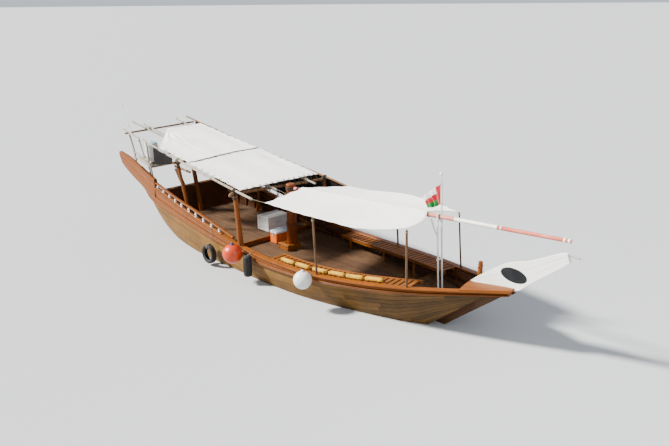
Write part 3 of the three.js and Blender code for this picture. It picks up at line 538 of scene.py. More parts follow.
# each look: the two colours of its streaks, then what departs from the common build
looks = {
    "varnish": dict(
        low=(0.17, 0.042, 0.008), high=(0.4, 0.125, 0.022), patches=(0.24, 0.075, 0.016),
        worn=(0.46, 0.21, 0.065), wornShare=0.22, rough=(0.4, 0.6), coat=0.03),
    "hull_wood": dict(
        low=(0.2, 0.105, 0.042), high=(0.4, 0.235, 0.105), patches=(0.13, 0.075, 0.038), patchShare=0.6,
        worn=(0.42, 0.3, 0.17), wornShare=0.35, rough=(0.5, 0.75), relief=0.003),
    "inner_wood": dict(
        low=(0.06, 0.021, 0.009), high=(0.14, 0.052, 0.021), patches=(0.045, 0.018, 0.009),
        worn=(0.2, 0.1, 0.045), wornShare=0.25, rough=(0.5, 0.75)),
    "keel_wood": dict(
        low=(0.055, 0.028, 0.016), high=(0.14, 0.065, 0.032), patches=(0.19, 0.12, 0.075),
        worn=(0.24, 0.15, 0.09), rough=(0.55, 0.8), relief=0.003),
    # deck_wood: its low level is partly the boards' own colour, partly painted shade of the awnings over the
    # deck
    "deck_wood": dict(
        low=(0.1, 0.055, 0.033), high=(0.22, 0.135, 0.082), patches=(0.085, 0.038, 0.024),
        worn=(0.3, 0.21, 0.145), wornShare=0.4, rough=(0.6, 0.85), level=0.42),
    "bench_wood": dict(
        low=(0.18, 0.055, 0.014), high=(0.38, 0.14, 0.042), patches=(0.2, 0.085, 0.03),
        worn=(0.42, 0.23, 0.11), wornShare=0.35, coat=0.02),
    "mast_wood": dict(
        low=(0.12, 0.028, 0.014), high=(0.28, 0.075, 0.03), patches=(0.34, 0.13, 0.05),
        worn=(0.42, 0.22, 0.11), wornShare=0.2, rough=(0.4, 0.6), coat=0.06),
    "pale_pole": dict(
        low=(0.46, 0.4, 0.33), high=(0.74, 0.7, 0.63), patches=(0.5, 0.42, 0.33), worn=(0.26, 0.17, 0.1),
        wornShare=0.55, wornScale=5, rough=(0.6, 0.85), relief=0.004),
    "rough_pole": dict(
        low=(0.15, 0.072, 0.035), high=(0.36, 0.21, 0.12), patches=(0.42, 0.33, 0.25),
        worn=(0.5, 0.41, 0.31), rough=(0.6, 0.85), relief=0.004),
    # a darker copy of the pole wood: partly the stakes' own colour, partly painted shade
    "stake_wood": dict(
        low=(0.085, 0.045, 0.028), high=(0.21, 0.125, 0.08), patches=(0.26, 0.18, 0.12),
        rough=(0.6, 0.85), relief=0.004),
    "white_paint": dict(
        low=(0.74, 0.735, 0.7), high=(0.84, 0.835, 0.81), stretch=6, patches=(0.66, 0.64, 0.58),
        worn=(0.42, 0.34, 0.25), wornShare=-0.02, rough=(0.35, 0.55), relief=0.0015, coat=0.1, level=1),
    "spar_red": dict(
        low=(0.44, 0.13, 0.1), high=(0.66, 0.27, 0.23), stretch=10, patches=(0.72, 0.45, 0.4),
        worn=(0.72, 0.62, 0.56), wornShare=0.35, wornScale=5, rough=(0.45, 0.65), level=0.85),
    "staff_paint": dict(
        low=(0.7, 0.71, 0.7), high=(0.83, 0.83, 0.81), stretch=8, patches=(0.55, 0.5, 0.44), patchScale=2.2,
        worn=(0.2, 0.12, 0.08), wornShare=0.35, wornScale=4, rough=(0.4, 0.6), level=0.95),
    "caulk": dict(low=(0.02, 0.016, 0.013), high=(0.05, 0.038, 0.03), along="x", rough=(0.7, 0.9)),
    "canvas": dict(
        low=(0.86, 0.85, 0.835), high=(0.93, 0.925, 0.915), stretch=1, scale=3, patches=(0.76, 0.745, 0.71),
        patchShare=0.45, patchScale=0.7, rough=(0.8, 0.95), relief=0.0012, sheen=0.15, weave=120, level=1),
    "dark_cloth": dict(
        low=(0.008, 0.006, 0.007), high=(0.02, 0.016, 0.017), stretch=1, scale=4,
        patches=(0.028, 0.021, 0.022), patchScale=1.1, rough=(0.85, 0.97), weave=90, level=0.4, gleam=0.12),
    "yellow_cloth": dict(
        low=(0.56, 0.3, 0.035), high=(0.75, 0.45, 0.075), stretch=1, scale=9, patches=(0.48, 0.28, 0.08),
        patchShare=0.6, patchScale=3, rough=(0.7, 0.9), relief=0.003, sheen=0.2, weave=70, level=0.85),
    "rope": dict(
        low=(0.36, 0.3, 0.21), high=(0.62, 0.55, 0.43), stretch=0.2, scale=60, patches=(0.3, 0.24, 0.17),
        rough=(0.8, 0.95), relief=0.004),
    "dark_rope": dict(
        low=(0.03, 0.026, 0.024), high=(0.1, 0.085, 0.07), stretch=0.2, scale=60, rough=(0.8, 0.95),
        relief=0.004),
    "ironwork": dict(
        low=(0.075, 0.045, 0.032), high=(0.17, 0.12, 0.095), along="all", stretch=1, scale=7,
        patches=(0.2, 0.075, 0.03), patchScale=4, rough=(0.55, 0.8), metal=0.6),
    "galvanised": dict(
        low=(0.4, 0.41, 0.42), high=(0.6, 0.61, 0.62), along="all", stretch=1, scale=9,
        patches=(0.33, 0.22, 0.14), patchScale=6, rough=(0.35, 0.55), metal=0.85),
    "bronze": dict(
        low=(0.34, 0.2, 0.075), high=(0.62, 0.4, 0.17), along="all", stretch=1, scale=6,
        patches=(0.12, 0.25, 0.2), patchScale=5, rough=(0.3, 0.5), metal=0.95),
    "rubber": dict(
        low=(0.012, 0.012, 0.013), high=(0.035, 0.034, 0.033), along="all", stretch=1, scale=5,
        patches=(0.075, 0.068, 0.06), patchScale=3, rough=(0.65, 0.85), level=0.4, gleam=0.3),
}


def look(name, **changes):
    return finish(name, **{**looks[name], **changes})


def flagCloth(colour, name):
    dark = tuple(0.8 * c for c in colour)
    return finish("flag_" + name, dark, colour, stretch=1, scale=14, rough=(0.7, 0.85), sheen=0.25, weave=90,
                  level=0.85)


def plastic(name, colour, gloss=0.35, level=0.8, gleam=0.45):
    dark = tuple(0.88 * c for c in colour)
    grime = tuple(0.55 * c + 0.05 for c in colour)
    return finish(name, dark, colour, "all", stretch=1, scale=3, patches=grime, patchShare=0.35,
                  patchScale=2.4, worn=grime, wornShare=0.05, wornScale=22, rough=(gloss, gloss + 0.2),
                  relief=0.0006, level=level, gleam=gleam)


white = (0.82, 0.82, 0.8)
paleBlue = (0.6, 0.72, 0.82)
orange = (0.78, 0.17, 0.045)
navy = (0.012, 0.022, 0.1)

# hull planking
planking = {
    "strakes": 14,
    "proud": 0.008,
    "depth": 0.03,
    "seam": 0.005,
    "bevel": 0.004,
    "underWale": 0.04,
    "aft": -6.7,
    "fore": 6.8,
    "plank": 3.6,
    "station": 0.26,
}
transomPlane = ((hull["sternX"], 0, 0), (-1, 0, hull["sternRake"]))
stemPlane = ((hull["stemX"], 0, 0), (1, 0, -hull["stemRake"]))


# points up one section at even steps of its girth, from the rabbet to just under the wale
def girthPoints(x, count):
    keel, sheer = line(x, "keel"), line(x, "sheer")
    top = min(1, (line(x, "wale") + planking["underWale"] - keel) / (sheer - keel))
    samples = 80
    heights = [keel + (sheer - keel) * top * (n / samples) ** 2.2 for n in range(samples + 1)]
    return resampled([Vector((x, breadthAt(x, z), z)) for z in heights], count)


def strakeRing(points, k, side):
    low, mid, high = points[2 * k], points[2 * k + 1], points[2 * k + 2]
    along = (high - low).normalized()
    out = Vector((0, along.z, -along.y))
    proud, bevel = planking["proud"], planking["bevel"]
    a, b = low + along * planking["seam"] / 2, high - along * planking["seam"] / 2
    ring = [
        a - out * planking["depth"],
        a + out * (proud - bevel),
        a + along * bevel + out * proud,
        mid + out * proud,
        b - along * bevel + out * proud,
        b + out * (proud - bevel),
        b - out * planking["depth"],
    ]
    return [(p.x, p.y * side, p.z) for p in ring]


def hullPlanking(side, word):
    shape = Shape()
    for k in range(planking["strakes"]):
        for start, end in boardEnds(planking["aft"], planking["fore"], planking["plank"], (0.75, 1.3), 1):
            xs = spaced(start, end - 0.003, planking["station"])
            sections = [girthPoints(x, 2 * planking["strakes"]) for x in xs]
            # painted shade: the boards darken towards the bow, where the flared side turns away from the
            # light
            tone = boardTone(0.14) - min(0.6, 0.09 * max(0, start + 1.5))
            shape.loft([strakeRing(points, k, side) for points in sections], tone=tone)
    shape.piece("planking_" + word, "hull_wood", slot="weathered_planking", cuts=(transomPlane, stemPlane),
                smooth=25)


onBothSides(hullPlanking)

# wale: two bands, the upper one set back, each of two boards
wale = {
    "start": -8.36,
    "end": 7.06,
    "station": 0.18,
    "thick": 0.062,
    "sunk": 0.045,
    "stepShare": 0.47,
    "groove": 0.005,
    "bevel": 0.0025,
}


# outer face and height at a share of one band, and how far in the band goes
def waleSkin(x, band, share):
    b, sheer, low = line(x, "b"), line(x, "sheer"), line(x, "wale")
    step = low + (sheer - low) * wale["stepShare"]
    lowY = max(breadthAt(x, low), b - 0.26)
    stepY = max(breadthAt(x, step), b - 0.15)
    if band == 0:
        z = low + (step - 0.006 - low) * share
        return lowY + (stepY - lowY) * share + wale["thick"] + 0.008, z, lowY + (stepY - lowY) * share
    z = step + 0.004 + (sheer - 0.004 - step) * share
    proud = 0.062 - 0.014 * share if x <= hull["wingX"] else 0.042
    return stepY + (b - stepY) * share + proud, z, stepY + (b - stepY) * share


def waleRing(x, band, low, high, side):
    ring = []
    for share, inward in ((low, 1), (high, -1)):
        y, z, inner = waleSkin(x, band, share)
        z += wale["groove"] / 2 * inward
        edge = [
            (x, (inner - wale["sunk"]) * side, z),
            (x, (y - wale["bevel"]) * side, z),
            (x, y * side, z + wale["bevel"] * inward),
        ]
        ring += edge if inward > 0 else edge[::-1]
    return ring


# what shows in the grooves between the boards, set darker as a painted shade in the grooves
def waleCore(x, band, side):
    lowY, lowZ, lowIn = waleSkin(x, band, 0)
    highY, highZ, highIn = waleSkin(x, band, 1)
    lowZ += 0.005 if band == 0 else -0.004
    highZ += 0.01 if band == 0 else -0.005
    back, front = wale["sunk"] - 0.004, 0.014
    ring = [(lowIn - back, lowZ), (lowY - front, lowZ), (highY - front, highZ), (highIn - back, highZ)]
    return [(x, y * side, z) for y, z in ring]


def waleBoards(side, word):
    shape = Shape()
    coreXs = stations(wale["start"] + 0.005, wale["end"] - 0.005, wale["station"])
    for band in (0, 1):
        # painted shade: the core is darker so that the grooves between the boards read dark
        shape.loft([waleCore(x, band, side) for x in coreXs], tone=-0.35)
    for band, low, high in ((0, 0, 0.5), (0, 0.5, 1), (1, 0, 0.55), (1, 0.55, 1)):
        for start, end in boardEnds(wale["start"], wale["end"], 1, (4.2, 6.4), 1.5):
            xs = stations(start, end - 0.002, wale["station"])
            shape.loft([waleRing(x, band, low, high, side) for x in xs], tone=boardTone(0.13))
    shape.piece("wale_boards_" + word, "varnish", slot="varnished_wood", stands=["wale_" + word], smooth=28)


# cap rail on top of the wale
capEnds = (hull["capX"], -2.9, 0.6, 4.1, 7.1)


def capRing(x, side):
    b, z = line(x, "b"), line(x, "sheer") + 0.001
    outer, inner, top = b + 0.085, max(b - 0.105, 0.075 if x > 6 else 0), z + hull["cap"] - 0.001
    ring = [
        (inner, z), (outer - 0.01, z), (outer, z + 0.012), (outer, top - 0.014), (outer - 0.005, top - 0.004),
        (outer - 0.014, top), (inner + 0.01, top), (inner, top - 0.01),
    ]
    return [(x, y * side, height) for y, height in ring]


def capRail(side, word):
    shape = Shape()
    for start, end in zip(capEnds, capEnds[1:]):
        shape.loft([capRing(x, side) for x in spaced(start, end - 0.003, 0.18)], tone=boardTone(0.1))
    shape.piece("cap_rail_" + word, "varnish", slot="varnished_wood", stands=["cap_" + word])


onBothSides(waleBoards)
onBothSides(capRail)

# three-cornered deck over the bow, of tapering boards
hook = {"aft": 5.93, "tip": 7.13, "boards": 8, "gap": 0.006, "crown": 0.03, "over": 0.08, "sweep": 0.13}


def hookPoint(share, u, under=False):
    edge = hook["aft"] + hook["sweep"] * abs(u)
    x = edge + (hook["tip"] - edge) * share
    top = 0.03 + hook["crown"] * (1 - abs(u) ** 1.6)
    return Vector((x, (line(x, "b") + hook["over"]) * u, capTop(x) + 0.002 + (0 if under else top)))


def bowBoards():
    shape = Shape()
    for board in range(hook["boards"]):
        low, high = -1 + 2 * board / hook["boards"], -1 + 2 * (board + 1) / hook["boards"]
        rows = []
        for share in spaced(0, 1, 0.07):
            half = max(0.02, line(hookPoint(share, 0).x, "b") + hook["over"])
            a, b = low + hook["gap"] / half / 2, high - hook["gap"] / half / 2
            soft = min(0.004 / half, (b - a) / 3)
            top = [hookPoint(share, u) for u in (a, a + soft, (a + b) / 2, b - soft, b)]
            top[0].z -= 0.004
            top[-1].z -= 0.004
            rows.append([*top, hookPoint(share, b, under=True), hookPoint(share, a, under=True)])
        shape.loft(rows, tone=boardTone(0.1))
    shape.piece("bow_boards", "varnish", slot="varnished_wood", stands=["bow_deck"])


bowBoards()

# white plank head on the stem, with a rod out of its tip and a bare dark oval on each side
head = {"half": 0.055, "planks": 3, "upper": [(5.985, 1.365), (6.15, 1.51), (6.38, 1.685), (6.78, 1.97),
                                              (7.03, 2.085), (7.39, 2.205), (7.68, 2.35), (8.09, 2.566),
                                              (8.262, 2.605)],
        "lower": [(5.985, 1.345), (6.8, 1.41), (7.19, 1.455), (7.48, 1.7), (7.78, 1.95), (8.11, 2.22),
                  (8.335, 2.42)], "oval": {"x": 7.09, "z": 1.8, "long": 0.33, "high": 0.165, "tilt": -3},
        "rod": ((8.17, 2.566), (8.515, 2.558))}


def headPlanks():
    upper, lower = (evenly([(x, 0, z) for x, z in head[key]], 36) for key in ("upper", "lower"))
    shape = Shape()
    half = head["half"]
    for plank in range(head["planks"]):
        rows = []
        for top, bottom in zip(upper, lower):
            up = (top - bottom).normalized()
            high = (top - bottom).length
            a, b = high * plank / head["planks"], high * (plank + 1) / head["planks"]
            seam = min(0.0012, high / 12)
            soft = min(0.007 if plank in (0, head["planks"] - 1) else 0.002, high / 12)
            ring = [(a + seam, -half + soft), (a + seam + soft, -half), (b - seam - soft, -half),
                    (b - seam, -half + soft), (b - seam, half - soft), (b - seam - soft, half),
                    (a + seam + soft, half), (a + seam, half - soft)]
            rows.append([bottom + up * s + Vector((0, y, 0)) for s, y in ring])
        shape.loft(rows, tone=boardTone(0.03))
    shape.piece("head_planks", "white_paint", slot="white_paint", stands=["stem_head"])


def headRod():
    start, end = (Vector((x, 0, z)) for x, z in head["rod"])
    knob = [(0, -0.006), (0.016, -0.004), (0.019, 0.006), (0.016, 0.016), (0, 0.019)]
    shape = Shape()
    shape.tube(smoothPath([start, start.lerp(end, 0.5), end], 4), 0.012, 12)
    shape.turn(knob, end, (1, 0, 0), 14)
    shape.piece("head_rod", "galvanised", slot="steel")


def ovalBoard(side, word):
    oval = head["oval"]
    tilt = radians(oval["tilt"])
    rows = []
    for share, proud in ((1.0, 0.0), (1.0, 0.004), (0.985, 0.006), (0.9, 0.0065), (0.05, 0.0065)):
        ring = []
        for turn in turnsOf(40):
            u, v = oval["long"] * share * cos(turn), oval["high"] * share * sin(turn)
            x = oval["x"] + u * cos(tilt) - v * sin(tilt)
            z = oval["z"] + u * sin(tilt) + v * cos(tilt)
            ring.append((x, (head["half"] - 0.001 + proud) * side, z))
        rows.append(ring)
    paint = plastic("oval_paint", (0.012, 0.013, 0.016), 0.6, 0.6, 0.15)
    Shape().loft(rows).piece("oval_board_" + word, paint, slot="dark_timber")


headPlanks()
headRod()
onBothSides(ovalBoard)
print("planking, wales, caps and stem head made")

# poles, beams and battens of the awning frame: centre lines
nearPole = [(-6.48, -1.36, 3.187), (-5.64, -1.4, 3.045), (-4.05, -1.54, 2.89), (-3.26, -1.6, 2.8),
            (-0.83, -1.73, 2.545), (0.02, -1.78, 2.47)]
farPole = [(-7.95, 1.3, 3.49), (-6.58, 1.4, 3.24), (-4.05, 1.555, 2.785), (-0.83, 1.73, 2.33),
           (0.34, 1.75, 2.15)]
beams = {
    "mid": {"x": -0.84, "z": 2.353, "slope": -0.0621, "r": 0.046, "half": 1.85},
    "aft": {"x": -4.05, "z": 2.754, "slope": -0.0339, "r": 0.046, "half": 1.705},
    "bar": {"x": -7.64, "z": 3.275, "slope": 0.02, "r": 0.032, "half": 1.42},
}
battens = [
    {"y": -0.56, "tip": (-8.63, 3.44), "end": -0.42, "tone": -0.3},
    {"y": -0.4, "tip": (-8.06, 3.395), "end": -3.88, "tone": -0.05},
    {"y": 0.95, "tip": (-8.1, 3.448), "end": -0.42, "tone": -0.12},
]
shortBatten = [(-7.93, -1.3, 3.357), (-7.4, -1.3, 3.26), (-6.84, -1.3, 3.16)]
battenR = 0.03
battenGap = 0.003


def beamZ(name, y):
    return beams[name]["z"] + beams[name]["slope"] * y


# a natural pole: slightly crooked, uneven, with knots
def crookedPole(shape, points, r0, r1, sides=14, wander=0.006, tone=0.0, steps=9):
    path = smoothPath(points, steps)
    last = len(path) - 1
    for i in range(1, last):
        bend = noise.noise_vector(path[i] * 1.4)
        path[i] = path[i] + Vector((bend.x, bend.y, bend.z)) * wander
    knots = [random.random() for _ in range(max(2, int((path[0] - path[last]).length)))]

    def radius(t):
        swell = sum(exp(-(((t - k) / 0.006) ** 2)) for k in knots)
        return (r0 + (r1 - r0) * t) * (1 + 0.12 * min(1, swell))

    shape.tube(path, radius, sides, rough=0.08, tone=tone)


def polePiece(name, points, r0, r1, material, slot, stands=(), sides=14, wander=0.004):
    shape = Shape()
    crookedPole(shape, points, r0, r1, sides, wander)
    shape.piece(name, material, slot=slot, stands=stands, smooth=60)


def crossBeam(name, lean):
    beam = beams[name]
    ends = []
    for share in (-1, -0.5, 0, 0.5, 1):
        y = share * beam["half"]
        ends.append((beam["x"] + lean * (share + 1) / 2, y, beamZ(name, y)))
    if name == "mid":
        ends[0:1] = [(beam["x"], -1.885, 2.385), (beam["x"], -1.765, beamZ(name, -1.765))]
    polePiece("cross_beam_" + name, ends, beam["r"], beam["r"] * 0.94, "rough_pole", "rough_poles",
              ["beam_" + name], 16)


def battenPiece():
    shape = Shape()
    for batten in battens:
        y, (tipX, tipZ) = batten["y"], batten["tip"]
        on = beams["aft"]["r"] + battenR + battenGap
        path = [(tipX, y, tipZ), (beams["bar"]["x"], y, beamZ("bar", y) + 0.046),
                (beams["aft"]["x"], y, beamZ("aft", y) + on)]
        if batten["end"] > beams["mid"]["x"]:
            path.append((beams["mid"]["x"] - 0.01, y, beamZ("mid", y) + on))
        lastX, _, lastZ = path[-1]
        path.append((batten["end"], y, lastZ - (batten["end"] - lastX) * 0.121))
        crookedPole(shape, path, 0.026, battenR, wander=0.003, tone=batten["tone"])
    crookedPole(shape, shortBatten, 0.028, 0.03, tone=0.02)
    shape.piece("battens", "pale_pole", slot="pale_poles", stands=["awning_battens"], smooth=60)


def sternBar():
    bar = beams["bar"]
    ends = []
    for share in (-1, -0.4, 0.3, 1):
        y = bar["half"] * share
        ends.append((bar["x"] + 0.04 - 0.045 * (share + 1), y, beamZ("bar", y)))
    polePiece("stern_bar", ends, bar["r"], bar["r"], "rough_pole", "rough_poles", wander=0.003)


polePiece("pole_starboard", nearPole, 0.028, 0.032, "pale_pole", "pale_poles", ["edge_pole_starboard"],
          wander=0.006)
polePiece("pole_port", farPole, 0.027, 0.032, "rough_pole", "pale_poles", ["edge_pole_port"], wander=0.006)
crossBeam("mid", -0.02)
crossBeam("aft", 0)
battenPiece()
sternBar()

# awnings: rows from aft to fore, each with its near edge, far edge and the lift in the middle
awning = {
    "clear": 0.008,
    "lift": 0.004,
    "thick": 0.003,
    "hem": 0.009,
    "sag": 0.03,
    "scallop": 0.05,
    "ties": 10,
    "crease": 0.012,
}
aftRows = [
    ((-6.95, -0.16, 3.31), (-6.96, 1.26, 3.345), 0.008, 0),
    ((-6.3, -0.665, 3.215), (-6.4, 1.34, 3.245), 0.02, 0),
    ((-5.4, -1.365, 3.078), (-5.7, 1.39, 3.12), 0.025, 0),
    ((-4.8, -1.402, 2.998), (-4.95, 1.414, 3), 0.025, 0),
    ((-3.48, -1.508, 2.866), (-3.9, 1.47, 2.846), 0.025, 0),
]
midRows = [
    ((-3.4, -1.515, 2.857), (-3.82, 1.475, 2.834), 0.025, 0),
    ((-2.5, -1.566, 2.761), (-2.8, 1.542, 2.652), 0.025, 0),
    ((-1.7, -1.608, 2.677), (-1.9, 1.6, 2.52), 0.025, 0),
    ((-0.68, -1.65, 2.548), (-1.08, 1.655, 2.375), 0.05, 0.12),
]


# how low the cloth hangs between what carries it, as a share, at one distance across
def slack(y, supports):
    for low, high in zip(supports, supports[1:]):
        if low <= y <= high:
            return sin(pi * (y - low) / (high - low)) ** 2
    return 0


# a point of an edge, at a share of its length
def alongEdge(points, share):
    place = share * (len(points) - 1)
    i = min(len(points) - 2, int(place))
    a, b = Vector(points[i]), Vector(points[i + 1])
    return a.lerp(b, place - i)


# how far an edge is drawn in between its ties
def drawnIn(scallop, near, t, seed):
    return scallop * max(0, 1 - near * 12) * (0.6 + 0.4 * noiseAt(t * 9, seed, 0))


# folds that run out from a corner
def foldLift(point, peak):
    away = Vector((point.x - peak["x"], point.y - peak["y"]))
    spread = exp(-((away.length / peak["wide"]) ** 2))
    folds = 0.5 + 0.5 * sin(atan2(away.y, away.x) * peak["folds"])
    ring = exp(-(((away.length - peak["reach"]) / peak["fade"]) ** 2))
    return peak["high"] * spread - peak["fold"] * folds * ring


def clothPiece(name, grid, material, slot, node, thick, finish=0):
    shape = Shape()
    shape.loft(grid, closed=False, finish=finish)
    cloth = shape.piece(name, material, slot=slot, stands=[node], smooth=80, solid=False)
    wall = cloth.modifiers.new("cloth", "SOLIDIFY")
    wall.thickness = thick
    wall.offset = 0
    return cloth


def flatAwning(word, rows, supports, scallops, peak=None):
    count, across = 60, 72
    nearEdge = evenly([row[0] for row in rows], count)
    farEdge = evenly([row[1] for row in rows], count)
    crowns = [(row[2], row[3], 0) for row in rows]
    grid = []
    for i in range(count + 1):
        share = i / count
        crown, bulge = alongEdge(crowns, share).xy
        row = []
        for j in range(across + 1):
            t = j / across
            u = 2 * t - 1
            point = nearEdge[i].lerp(farEdge[i], t)
            point.x += bulge * (1 - u * u)
            point.z += crown * (1 - u * u) + awning["clear"] + awning["lift"]
            point.z -= awning["sag"] * slack(point.y, supports) * min(1, 3 * share, 3 * (1 - share)) ** 0.5
            scallop = awning["scallop"] * abs(sin(pi * t * awning["ties"])) ** 1.5
            if "aft" in scallops:
                point.x += drawnIn(scallop, share, t, 1)
            if "fore" in scallops:
                point.x -= drawnIn(scallop, 1 - share, t, 5)
            side = awning["scallop"] * 0.45 * abs(sin(pi * share * 9)) ** 1.3
            point.y += side * (max(0, 1 - t * 26) - max(0, 1 - (1 - t) * 26))
            broad = noiseAt(point.x * 0.9, point.y * 2.4, 3)
            fine = noiseAt(point.x * 3.1, point.y * 1.1, 8)
            point.z += awning["crease"] * (broad + 0.5 * fine)
            if peak:
                point.z += foldLift(point, peak)
            row.append(point)
        grid.append(row)
    sheet = clothPiece("awning_cloth_" + word, grid, "canvas", "canvas", "awning_" + word, awning["thick"])
    return sheet, grid


# a rolled hem along each edge of a cloth
def hems(name, grid):
    edges = {
        "aft": grid[0],
        "fore": grid[-1],
        "near": [row[0] for row in grid],
        "far": [row[-1] for row in grid],
    }
    made = []
    for edge, points in edges.items():
        shape = Shape().tube(points, awning["hem"], 8)
        made.append(shape.piece(f"{name}_hem_{edge}", "canvas", slot="canvas", smooth=70))
    return made


peak = {
    "x": -6.98,
    "y": -0.1,
    "wide": 0.25,
    "high": 0.02,
    "folds": 26,
    "fold": 0.032,
    "reach": 0.85,
    "fade": 0.55,
}
aftSheet, aftGrid = flatAwning("aft", aftRows, [-1.4, -0.56, -0.4, 0.95, 1.45], ("fore",), peak)
hems("awning_cloth_aft", aftGrid)
midSheet, midGrid = flatAwning("mid", midRows, [-1.55, -0.56, 0.95, 1.55], ("aft", "fore"))
hems("awning_cloth_mid", midGrid)

# fore awning: a ridge over the spar, drawn down to both sides
spar = {
    "heel": -0.27,
    "tip": 8.3,
    "r0": 0.06,
    "r1": 0.042,
    "z": 2.38,
    "slope": 0.06,
    "collars": (5.45, 6.55, 8.16),
}
foreRows = [
    ((0.48, -1.69, 2.425), 0.05, (0.23, 1.68, 2.2), 0),
    ((1.25, -1.735, 2.445), 1, (1.1, 1.58, 2.275), 0),
    ((2.35, -1.745, 2.47), 2, (2, 1.4, 2.42), 0),
    ((3.2, -1.7, 2.478), 2.9, (2.8, 1.2, 2.56), 0),
    ((3.8, -1.62, 2.48), 3.6, (3.45, 1.05, 2.625), 0),
    ((4.43, -1.3, 2.512), 4.2, (4.3, 0.9, 2.625), 0),
    ((4.83, -1.01, 2.572), 4.59, (4.96, 0.69, 2.628), 0.15),
]


def sparZ(x):
    return spar["z"] + spar["slope"] * x


def sparTaper(t):
    return spar["r0"] + (spar["r1"] - spar["r0"]) * t


def sparR(x):
    return spar["r0"] + (spar["r1"] - spar["r0"]) * (x - spar["heel"]) / (spar["tip"] - spar["heel"])


def foreAwning():
    count, half = 70, 30
    near = evenly([row[0] for row in foreRows], count)
    far = evenly([row[2] for row in foreRows], count)
    crest = [(row[1], 0, sparZ(row[1]) + sparR(row[1]) + awning["clear"]) for row in foreRows]
    ridge = evenly(crest, count)
    grid = []
    for i in range(count + 1):
        share = i / count
        lobe = 0.15 * max(0, share * 6 - 5) ** 1.5
        row = []
        for j in range(-half, half + 1):
            t = abs(j) / half
            point = ridge[i].lerp(near[i] if j < 0 else far[i], t)
            point.z += 0.008 + 0.012 * t
            point.z -= 0.035 * sin(pi * t) * min(1, 4 * share, 4 * (1 - share))
            point.z += 0.012 * exp(-((t / 0.05) ** 2))
            if j < 0:
                point.x += lobe * sin(pi * t)
            else:
                point.x -= 0.06 * max(0, share * 6 - 5) * sin(pi * t)
            bite = abs(sin(pi * share * 11)) ** 1.4
            point.y += (0.02 if j < 0 else -0.03) * bite * max(0, 1 - (1 - t) * 14)
            scallop = abs(sin(pi * t * 3)) ** 1.3
            point.x += 0.05 * scallop * max(0, 1 - share * 14)
            crease = noiseAt(point.x * 0.8, point.y * 1.7, 12)
            fine = noiseAt(point.x * 2.7 + point.y, point.y * 3.3, 2)
            point.z += 0.01 * crease + 0.004 * fine
            row.append(point)
        grid.append(row)
    sheet = clothPiece("awning_cloth_fore", grid, "canvas", "canvas", "awning_fore", awning["thick"])
    return sheet, grid


foreSheet, foreGrid = foreAwning()
hems("awning_cloth_fore", foreGrid)
print("poles and awnings made")

# spar, painted in bands, with its collars
def sparPoint(x, y=0.0):
    return Vector((x, y, sparZ(x)))


def ridgeSpar():
    first, second, _ = spar["collars"]
    stops = spaced(spar["heel"], first, 0.4) + spaced(first + 0.002, second, 0.3)
    stops += spaced(second + 0.002, spar["tip"], 0.3)
    rows = ringsAlong([sparPoint(x) for x in stops], sparTaper, 24, 0.02)

    def pick(i, _):
        return 1 if first - 0.001 < rows[i][0].x < second - 0.05 else 0

    shape = Shape().loft(rows, finish=pick)
    shape.piece("spar_pole", ["spar_red", "white_paint"], slot="spar_paint", stands=["ridge_spar"], smooth=50)


def sparCollars():
    shape = Shape()
    axis = (1, 0, spar["slope"])
    for x in spar["collars"]:
        for shift, long in ((-0.022, 0.044), (0.1, 0.03)):
            if x + shift + long > spar["tip"]:
                continue
            r = sparR(x)
            profile = [(r, shift), (r + 0.009, shift + 0.003), (r + 0.011, shift + long / 2),
                       (r + 0.009, shift + long - 0.003), (r, shift + long)]
            shape.turn(profile, sparPoint(x), axis, 24)
    r = spar["r1"]
    cap = [(r * 0.6, -0.03), (r + 0.004, -0.028), (r + 0.004, 0), (r * 0.55, 0.008), (r * 0.5, 0.03),
           (0, 0.035)]
    shape.turn(cap, sparPoint(spar["tip"] - 0.03), axis, 24)
    shape.piece("spar_collars", "white_paint", slot="white_paint")


ridgeSpar()
sparCollars()

# flagstaff, its mate and the crutch under the spar
staff = {"x": 5.09, "y": 0.078, "top": 3.65, "mateTop": 2.76, "lean": -0.058, "r": 0.02}


def staffAt(z, y=staff["y"]):
    return Vector((staff["x"] + staff["lean"] * (z - hull["foreDeck"]), y, z))


def flagstaff():
    shape = Shape()
    foot = hull["foreDeck"] + 0.003
    collar = [(0.02, 0), (0.042, 0.001), (0.042, 0.01), (0.026, 0.014), (0.02, 0.03)]
    for y, top, r in ((staff["y"], staff["top"], 0.017), (-staff["y"], staff["mateTop"], 0.02)):
        path = [staffAt(z, y) for z in spaced(foot, top, 0.3)]
        shape.tube(path, lambda t, end=r: staff["r"] + (end - staff["r"]) * t, 16)
        shape.turn(collar, staffAt(foot, y), sides=16)
    ball = [(0.045 * sin(pi * k / 14), -0.045 * cos(pi * k / 14)) for k in range(15)]
    shape.turn(ball, staffAt(3.69), sides=24)
    stud = [(0, -0.008), (0.022, -0.006), (0.024, 0), (0.022, 0.006), (0, 0.008)]
    for z, half in ((2.598, 0.12), (1.62, 0.11)):
        shape.tube([staffAt(z, y) for y in (-half, 0, half)], 0.02, 14)
        for y in (-half, half):
            shape.turn(stud, staffAt(z, y), (0, 1, 0), 14)
    mate = -staff["y"]
    brace = [staffAt(2.18, mate), Vector((4.87, mate, 2.4)), Vector((4.79, mate, 2.6))]
    shape.tube(brace, 0.019, 14)
    shape.piece("staff_pipes", "staff_paint", slot="white_pipe", stands=["flagstaff"], smooth=50)
    halyard = Shape()
    hoist = [staffAt(3.62, 0.104), staffAt(2.6, 0.112), staffAt(1.66, 0.104)]
    fall = [staffAt(3.62, 0.052), staffAt(2.7, 0.04), staffAt(1.66, 0.054)]
    for path in (hoist, fall):
        halyard.tube(smoothPath(path, 10), 0.0028, 6)
    halyard.piece("halyard", "rope", slot="canvas", smooth=70)


flag = {"high": 0.48, "long": 0.8, "red": 0.27, "top": 3.44, "pleats": 3.2}


